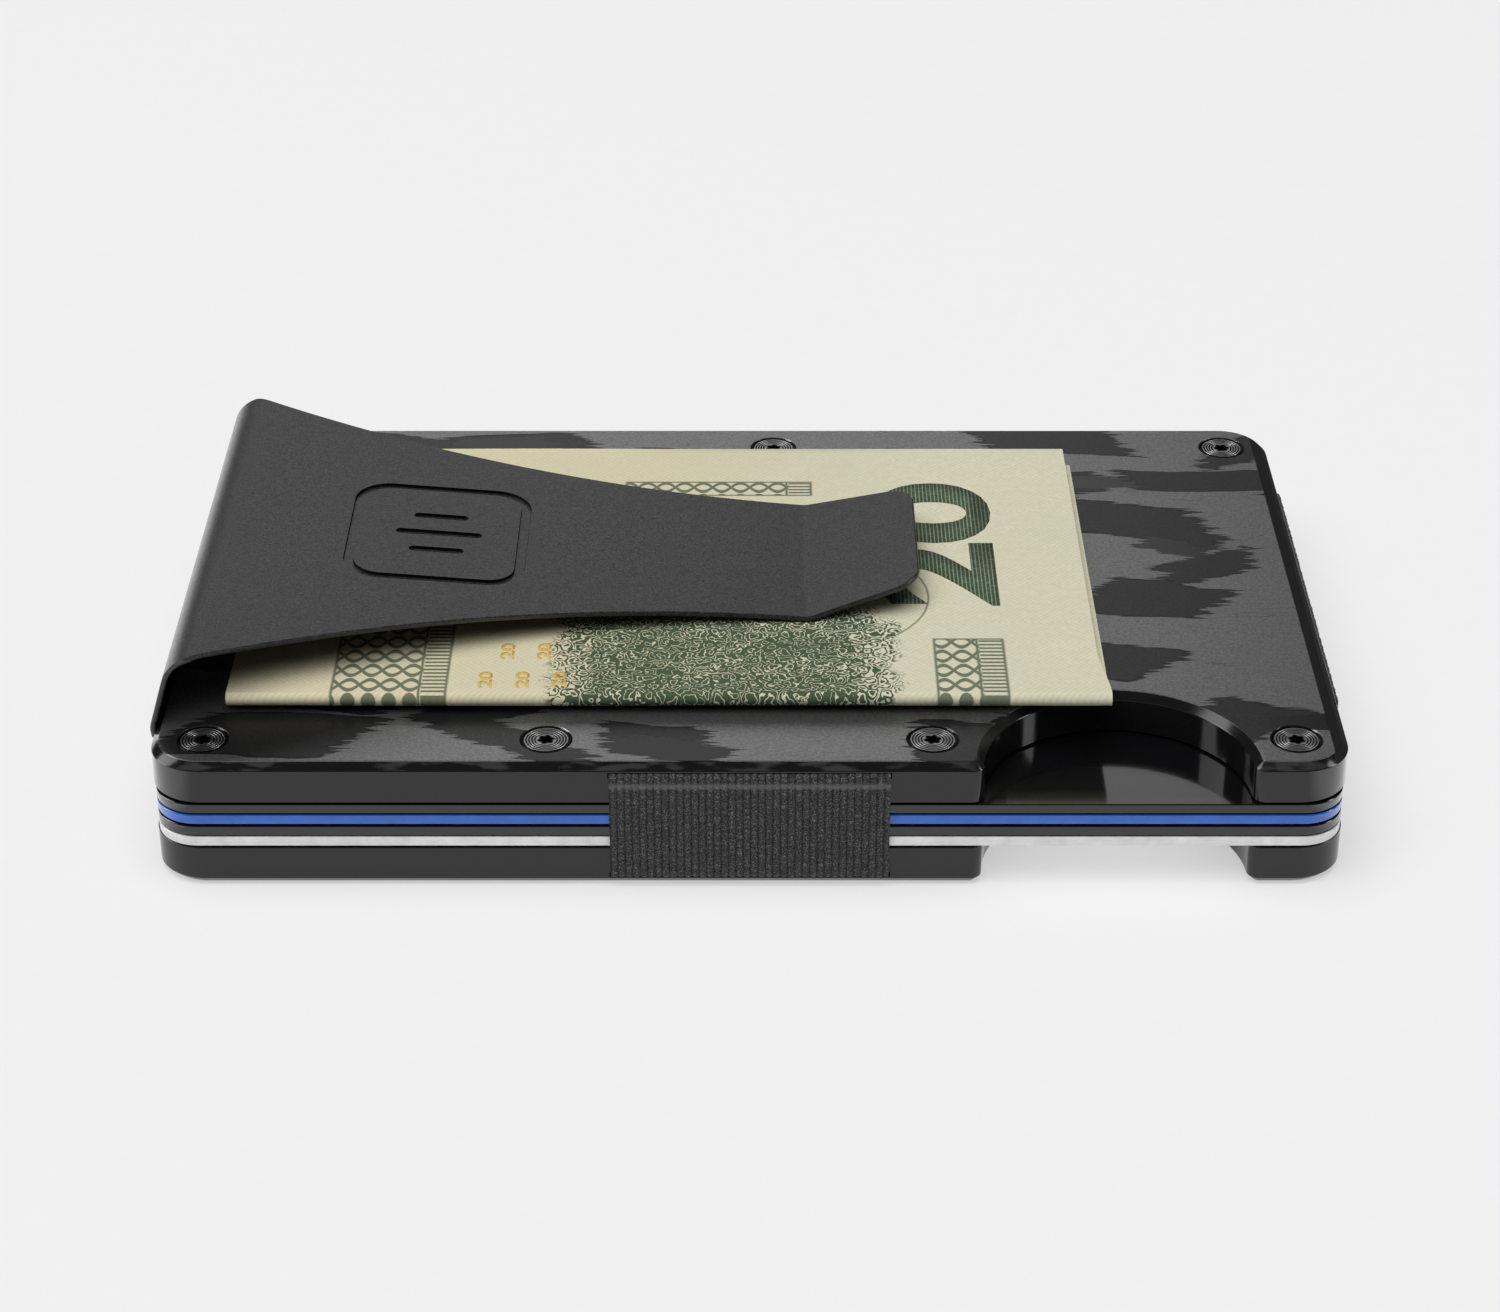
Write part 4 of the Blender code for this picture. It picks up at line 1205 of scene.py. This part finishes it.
def clip_half_width(x, height, on_arm):
    """Half the clip's width at a place: ears inside the plate, the wall, then the hollow-sided arm."""
    if not on_arm:
        if x > CLIP_NECK.x + TINY:
            from_end = min(x - CLIP_NECK.x, CLIP_FOOT.x - x)
            return rounded_end(from_end, CLIP_EAR_HALF, CLIP_EAR_CORNER)
        return rounded_end(height - CLIP_FOOT.y, CLIP_ROOT_HALF, CLIP_CORNER)
    if x < CLIP_CONTACT.x:
        share = min(1.0, (CLIP_CONTACT.x - x) / (CLIP_CONTACT.x - CLIP_TAPER_X))
        return CLIP_CONTACT_HALF + (CLIP_ROOT_HALF - CLIP_CONTACT_HALF) * share**2
    share = (x - CLIP_CONTACT.x) / (CLIP_TIP.x - CLIP_CONTACT.x)
    half = CLIP_CONTACT_HALF + (CLIP_TIP_HALF - CLIP_CONTACT_HALF) * share
    return rounded_end(CLIP_TIP.x - x, half, CLIP_CORNER)


def mark_cutter(sizes):
    """The mark's shape, face down in the arm's plane: a long-sided ring round three bars."""
    half_x, half_y = MARK_SIZE[0] / 2, MARK_SIZE[1] / 2
    groove, depth = sizes.mark_groove, sizes.mark_depth
    shape = bmesh.new()
    face = outline(shape, rectangle_arcs(half_x, half_y, 0.42 * half_x))
    bmesh.ops.inset_region(shape, faces=[face], thickness=groove, use_boundary=True, use_even_offset=True)
    bmesh.ops.delete(shape, geom=[face], context="FACES_ONLY")
    for y, reach in MARK_BARS:
        single = bmesh.new()
        outline(single, rectangle_arcs(reach, groove / 2, 0.49 * groove))
        bmesh.ops.translate(single, verts=single.verts, vec=(0.0, y, 0.0))
        take_in(shape, single)
    bmesh.ops.recalc_face_normals(shape, faces=shape.faces)
    bmesh.ops.translate(shape, verts=shape.verts, vec=(0.0, 0.0, -depth))
    grown = bmesh.ops.extrude_face_region(shape, geom=shape.faces[:])["geom"]
    bmesh.ops.translate(shape, verts=points_in(grown), vec=(0.0, 0.0, depth + OVERSHOOT))
    bmesh.ops.recalc_face_normals(shape, faces=shape.faces)
    corners = [e for e in edges_at(shape, -depth) if e.calc_face_angle(0.0) > 1.0]
    bevel(shape, corners, 0.04 * MM, 1)
    return make_object("mark_cutter", shape)


def clip_sheet(sizes, material):
    """The clip as a bent sheet with tumbled edges, still without its mark."""
    shape = bmesh.new()
    layer = shape.verts.layers.float.new("along")
    row = row_across(shape, 1.0, 1, CLIP_FOOT)
    carry(shape, row, CLIP_LINE, CLIP_BENDS, CLIP_ROWS, 14, layer)
    arm_from = sum((b - a).length for a, b in zip(CLIP_LINE[:4], CLIP_LINE[1:5])) - CLIP_BEFORE_CREST
    for vertex in shape.verts:
        half = clip_half_width(vertex.co.x, vertex.co.z, vertex[layer] > arm_from)
        vertex.co.y = math.copysign(half, vertex.co.y)
    face_up(shape, UP)
    piece = make_object("money_clip_skin", shape, material, recalculate=False)
    give_wall(piece, sizes.clip_thickness)
    soft = piece.modifiers.new("Tumbled edges", "BEVEL")
    soft.width = sizes.clip_softening
    soft.segments = 3
    soft.limit_method = "ANGLE"
    soft.angle_limit = math.radians(50)
    settle(piece)
    return piece


def press_mark(piece, sizes):
    """Presses the mark into the clip's arm and paints its walls near-black, as painted shade."""
    slope = (CLIP_CONTACT - CLIP_CREST).normalized()
    height = CLIP_CREST.y + (MARK_X - CLIP_CREST.x) * slope.y / slope.x
    cutter = mark_cutter(sizes)
    tilt = Matrix.Rotation(-math.atan2(slope.y, slope.x), 4, "Y")
    cutter.data.transform(Matrix.Translation((MARK_X, 0.0, height)) @ tilt)
    cut(piece, cutter)
    # The mark's walls get a near-black material: painted shade for its grooves
    piece.data.materials.append(mark_painted_shade_finish())
    upright = Vector((-slope.y, 0.0, slope.x))
    reach = [side / 2 + MARK_SPARE for side in MARK_SIZE]
    for polygon in piece.data.polygons:
        near = abs(polygon.center.x - MARK_X) < reach[0] and abs(polygon.center.y) < reach[1]
        polygon.material_index = int(near and abs(polygon.normal.dot(upright)) < 0.9)


class WALLET_OT_money_clip(bpy.types.Operator):
    """Build the money clip as one bent sheet of spring steel"""

    bl_idname = "wallet.money_clip"
    bl_label = "Money Clip"

    def execute(self, context):
        sizes = context.scene.wallet_sizes
        piece = clip_sheet(sizes, clip_finish(context.scene.wallet_colours))
        press_mark(piece, sizes)
        piece.data.transform(Matrix.Translation((0.0, 0.0, TOP_Z)))
        shade(piece.data, 40.0)
        weigh_normals(piece)
        settle(piece)
        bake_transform(piece)
        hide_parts("clip_base", "clip_arm")
        return {"FINISHED"}


# ---------------------------------------------------------------- cards


class WALLET_OT_cards(bpy.types.Operator):
    """Build the four cards with softened edges"""

    bl_idname = "wallet.cards"
    bl_label = "Cards"

    def execute(self, context):
        sizes, colours = context.scene.wallet_sizes, context.scene.wallet_colours
        finishes = {
            "black": card_finish("laminated_pvc_black", colours.card_black, 0.1),
            "blue": card_finish("laminated_pvc_blue", colours.card_blue, 0.2),
            "silver": card_finish("laminated_pvc_silver", colours.card_silver, 0.25),
        }
        for node, body, tone in CARDS:
            low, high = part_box(node)
            shape = bmesh.new()
            face = outline(shape, rectangle_arcs(high.x, high.y, CARD_CORNER))
            thicken(shape, face, low.z, high.z)
            bmesh.ops.recalc_face_normals(shape, faces=shape.faces)
            bevel(shape, edges_at(shape, low.z) + edges_at(shape, high.z), sizes.card_edge, 3)
            piece = make_object(f"{node}_laminate", shape, finishes[tone])
            shade(piece.data)
            weigh_normals(piece)
            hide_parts(node)
            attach(piece, body)
        return {"FINISHED"}


# ---------------------------------------------------------------- folded note


def note_line(low, high, paper):
    """The note's line from its loose bottom end, through three folds: Y as X, and height. The inner folds lie
    a little inside the outer ones."""
    front, back = low.y + 0.25 * MM + paper / 2, high.y - paper / 2
    bottom, top = low.z + paper / 2, high.z - paper / 2
    rise = top - bottom
    third, second = bottom + 0.34 * rise, bottom + 0.62 * rise
    inner_front = front + 1.0 * MM
    return [
        Vector((back - 0.6 * MM, bottom)),
        Vector((front, bottom + 0.3 * MM)),
        Vector((front, top)),
        Vector((back, top)),
        Vector((back, second)),
        Vector((inner_front, second)),
        Vector((inner_front, third)),
        Vector((back - 1.1 * MM, third)),
    ]


def stretched(value, old, new):
    """A value moved from one range to another."""
    return new[0] + (new[1] - new[0]) * (value - old[0]) / (old[1] - old[0])


def numeral(name, text, low, high, height, material):
    """Text laid flat with its baseline along +Y, stretched to a box and made a thin body."""
    curve = bpy.data.curves.new(name, "FONT")
    curve.body = text
    curve.resolution_u = 6
    curve.offset = 0.032
    drawn = link_object(f"{name}_outline", curve)
    bpy.context.view_layer.update()
    mesh = bpy.data.meshes.new_from_object(drawn.evaluated_get(bpy.context.evaluated_depsgraph_get()))
    bpy.data.objects.remove(drawn, do_unlink=True)
    mesh.transform(Matrix.Rotation(math.pi / 2, 4, "Z"))
    shape = bmesh.new()
    shape.from_mesh(mesh)
    bpy.data.meshes.remove(mesh)
    places = [sorted(vertex.co[axis] for vertex in shape.verts) for axis in range(2)]
    spans = [(along[0], along[-1]) for along in places]
    for vertex in shape.verts:
        x, y = (stretched(vertex.co[axis], spans[axis], (low[axis], high[axis])) for axis in range(2))
        vertex.co = (x, y, height)
    bmesh.ops.remove_doubles(shape, verts=shape.verts, dist=MERGE)
    grown = bmesh.ops.extrude_face_region(shape, geom=shape.faces[:])["geom"]
    bmesh.ops.translate(shape, verts=points_in(grown), vec=(0.0, 0.0, INK_THICKNESS))
    piece = make_object(name, shape, material)
    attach(piece, "note")
    return piece


def note_numerals(level, colours):
    """The printed numerals: one large, and a group of small ones."""
    green = ink_finish("engraved_green_ink", colours.ink, colours.paper)
    yellow = ink_finish("engraved_yellow_ink", colours.ink_light, colours.paper)
    made = [numeral("note_large_numeral", "20", *LARGE_NUMERAL, level, green)]
    half_x, half_y = SMALL_NUMERAL_HALF
    for number, (x, y) in enumerate(SMALL_NUMERALS, start=1):
        low, high = ((x - half_x) * MM, (y - half_y) * MM), ((x + half_x) * MM, (y + half_y) * MM)
        made.append(numeral(f"note_small_numeral_{number}", "20", low, high, level, yellow))
    return made


def folded_paper(low, high, sizes, material):
    """The note as one folded sheet. Returns it with its flat size."""
    width = high.x - low.x
    line = note_line(low, high, sizes.paper)
    shape = bmesh.new()
    layer = shape.verts.layers.float.new("along")
    row = row_across(shape, width / 2, 40, line[0])
    carry(shape, row, line, NOTE_FOLDS, [1.0 * MM] * len(line), 8, layer)
    total = max(vertex[layer] for vertex in shape.verts)
    for vertex in shape.verts:
        share = vertex[layer] / total
        # The layers above the lowest are drawn a little to one side, and all but the top one are wavy
        vertex.co.y += 0.6 * MM * clamped((share - 0.26) / 0.03) * (0.5 - vertex.co.y / width)
        wave = noise.noise((vertex.co.x / (16 * MM), vertex.co.y / (20 * MM), round(share * 4)))
        if abs(vertex.co.z - high.z + sizes.paper / 2) > TINY:
            vertex.co.z += 0.06 * MM * wave
    turn = Matrix.Translation(((low.x + high.x) / 2, 0.0, 0.0)) @ Matrix.Rotation(math.pi / 2, 4, "Z")
    bmesh.ops.transform(shape, verts=shape.verts, matrix=turn)
    face_up(shape, UP)
    piece = make_object("folded_note_paper", shape, material, recalculate=False)
    give_wall(piece, sizes.paper, 0.0)
    settle(piece)
    shade(piece.data, 50.0)
    return piece, (width, total)


class WALLET_OT_folded_note(bpy.types.Operator):
    """Build the note folded in four, with its generic print"""

    bl_idname = "wallet.folded_note"
    bl_label = "Folded Note"

    def execute(self, context):
        colours = context.scene.wallet_colours
        low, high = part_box("folded_note")
        high.z -= 0.02 * MM
        piece, flat = folded_paper(low, high, context.scene.wallet_sizes, note_finish(colours))
        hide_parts("folded_note")
        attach(piece, "note")
        printed = note_numerals(high.z + TINY, colours)
        return {"FINISHED"}


# ---------------------------------------------------------------- stage


def soft_light(name, place, size, power):
    """A softbox aimed at the wallet."""
    lamp = bpy.data.lights.new(name, "AREA")
    lamp.shape = "RECTANGLE"
    lamp.size, lamp.size_y = size
    lamp.energy = power
    made = link_object(name, lamp)
    made.location = place
    made.rotation_euler = (AIM - Vector(place)).to_track_quat("-Z", "Y").to_euler()
    return made


class WALLET_OT_stage(bpy.types.Operator):
    """Set up the pale floor, the soft studio light and the camera"""

    bl_idname = "wallet.stage"
    bl_label = "Stage"

    def execute(self, context):
        scene = context.scene
        scene.view_settings.view_transform = "Standard"
        shape = bmesh.new()
        bmesh.ops.create_grid(shape, x_segments=8, y_segments=8, size=3.0)
        floor = make_object("studio_floor", shape, floor_finish(scene.wallet_colours))

        # The camera sees a pale room, and gloss sees a dark one, so that black gloss stays black
        world = bpy.data.worlds.new("studio")
        world.use_nodes = True
        scene.world = world
        tree = world.node_tree
        tree.nodes.clear()
        shown = add(tree, "LightPath")
        strength = add(tree, "MapRange", shown, To_Min=ROOM_GLOW, To_Max=ROOM_SHOWN)
        glow = add(tree, "Background", (1.0, 1.0, 1.0, 1.0), strength)
        tree.links.new(glow, tree.nodes.new("ShaderNodeOutputWorld").inputs["Surface"])

        soft_light(*KEY).visible_glossy = False
        for reflector in REFLECTORS:
            soft_light(*reflector).visible_diffuse = False

        lens = bpy.data.cameras.new("camera")
        lens.lens = LENS
        lens.sensor_width = SENSOR
        lens.clip_start = 0.01
        lens.clip_end = 20.0
        camera = link_object("camera", lens)
        camera.location = CAMERA_PLACE
        camera.rotation_euler = (CAMERA_TILT, 0.0, 0.0)
        scene.camera = camera
        return {"FINISHED"}


class WALLET_PT_pieces(bpy.types.Panel):
    """Lists what the wallet is built from"""

    bl_idname = "WALLET_PT_pieces"
    bl_label = "Card Wallet"
    bl_space_type = "VIEW_3D"
    bl_region_type = "UI"
    bl_category = "Wallet"

    def draw(self, context):
        for operator in OPERATORS:
            self.layout.operator(operator.bl_idname)
        for group in (context.scene.wallet_sizes, context.scene.wallet_colours):
            for name in group.__annotations__:
                self.layout.prop(group, name)


OPERATORS = (
    WALLET_OT_stage,
    WALLET_OT_outer_plates,
    WALLET_OT_inner_plates,
    WALLET_OT_screws,
    WALLET_OT_elastic_bands,
    WALLET_OT_money_clip,
    WALLET_OT_cards,
    WALLET_OT_folded_note,
)
CLASSES = (WALLET_PG_sizes, WALLET_PG_colours, *OPERATORS, WALLET_PT_pieces)


def register():
    for made in CLASSES:
        bpy.utils.register_class(made)
    bpy.types.Scene.wallet_sizes = PointerProperty(type=WALLET_PG_sizes)
    bpy.types.Scene.wallet_colours = PointerProperty(type=WALLET_PG_colours)


def unregister():
    del bpy.types.Scene.wallet_colours
    del bpy.types.Scene.wallet_sizes
    for made in reversed(CLASSES):
        bpy.utils.unregister_class(made)


def main():
    register()
    for operator in OPERATORS:
        group, name = operator.bl_idname.split(".")
        getattr(getattr(bpy.ops, group), name)()


if __name__ == "__main__":
    main()
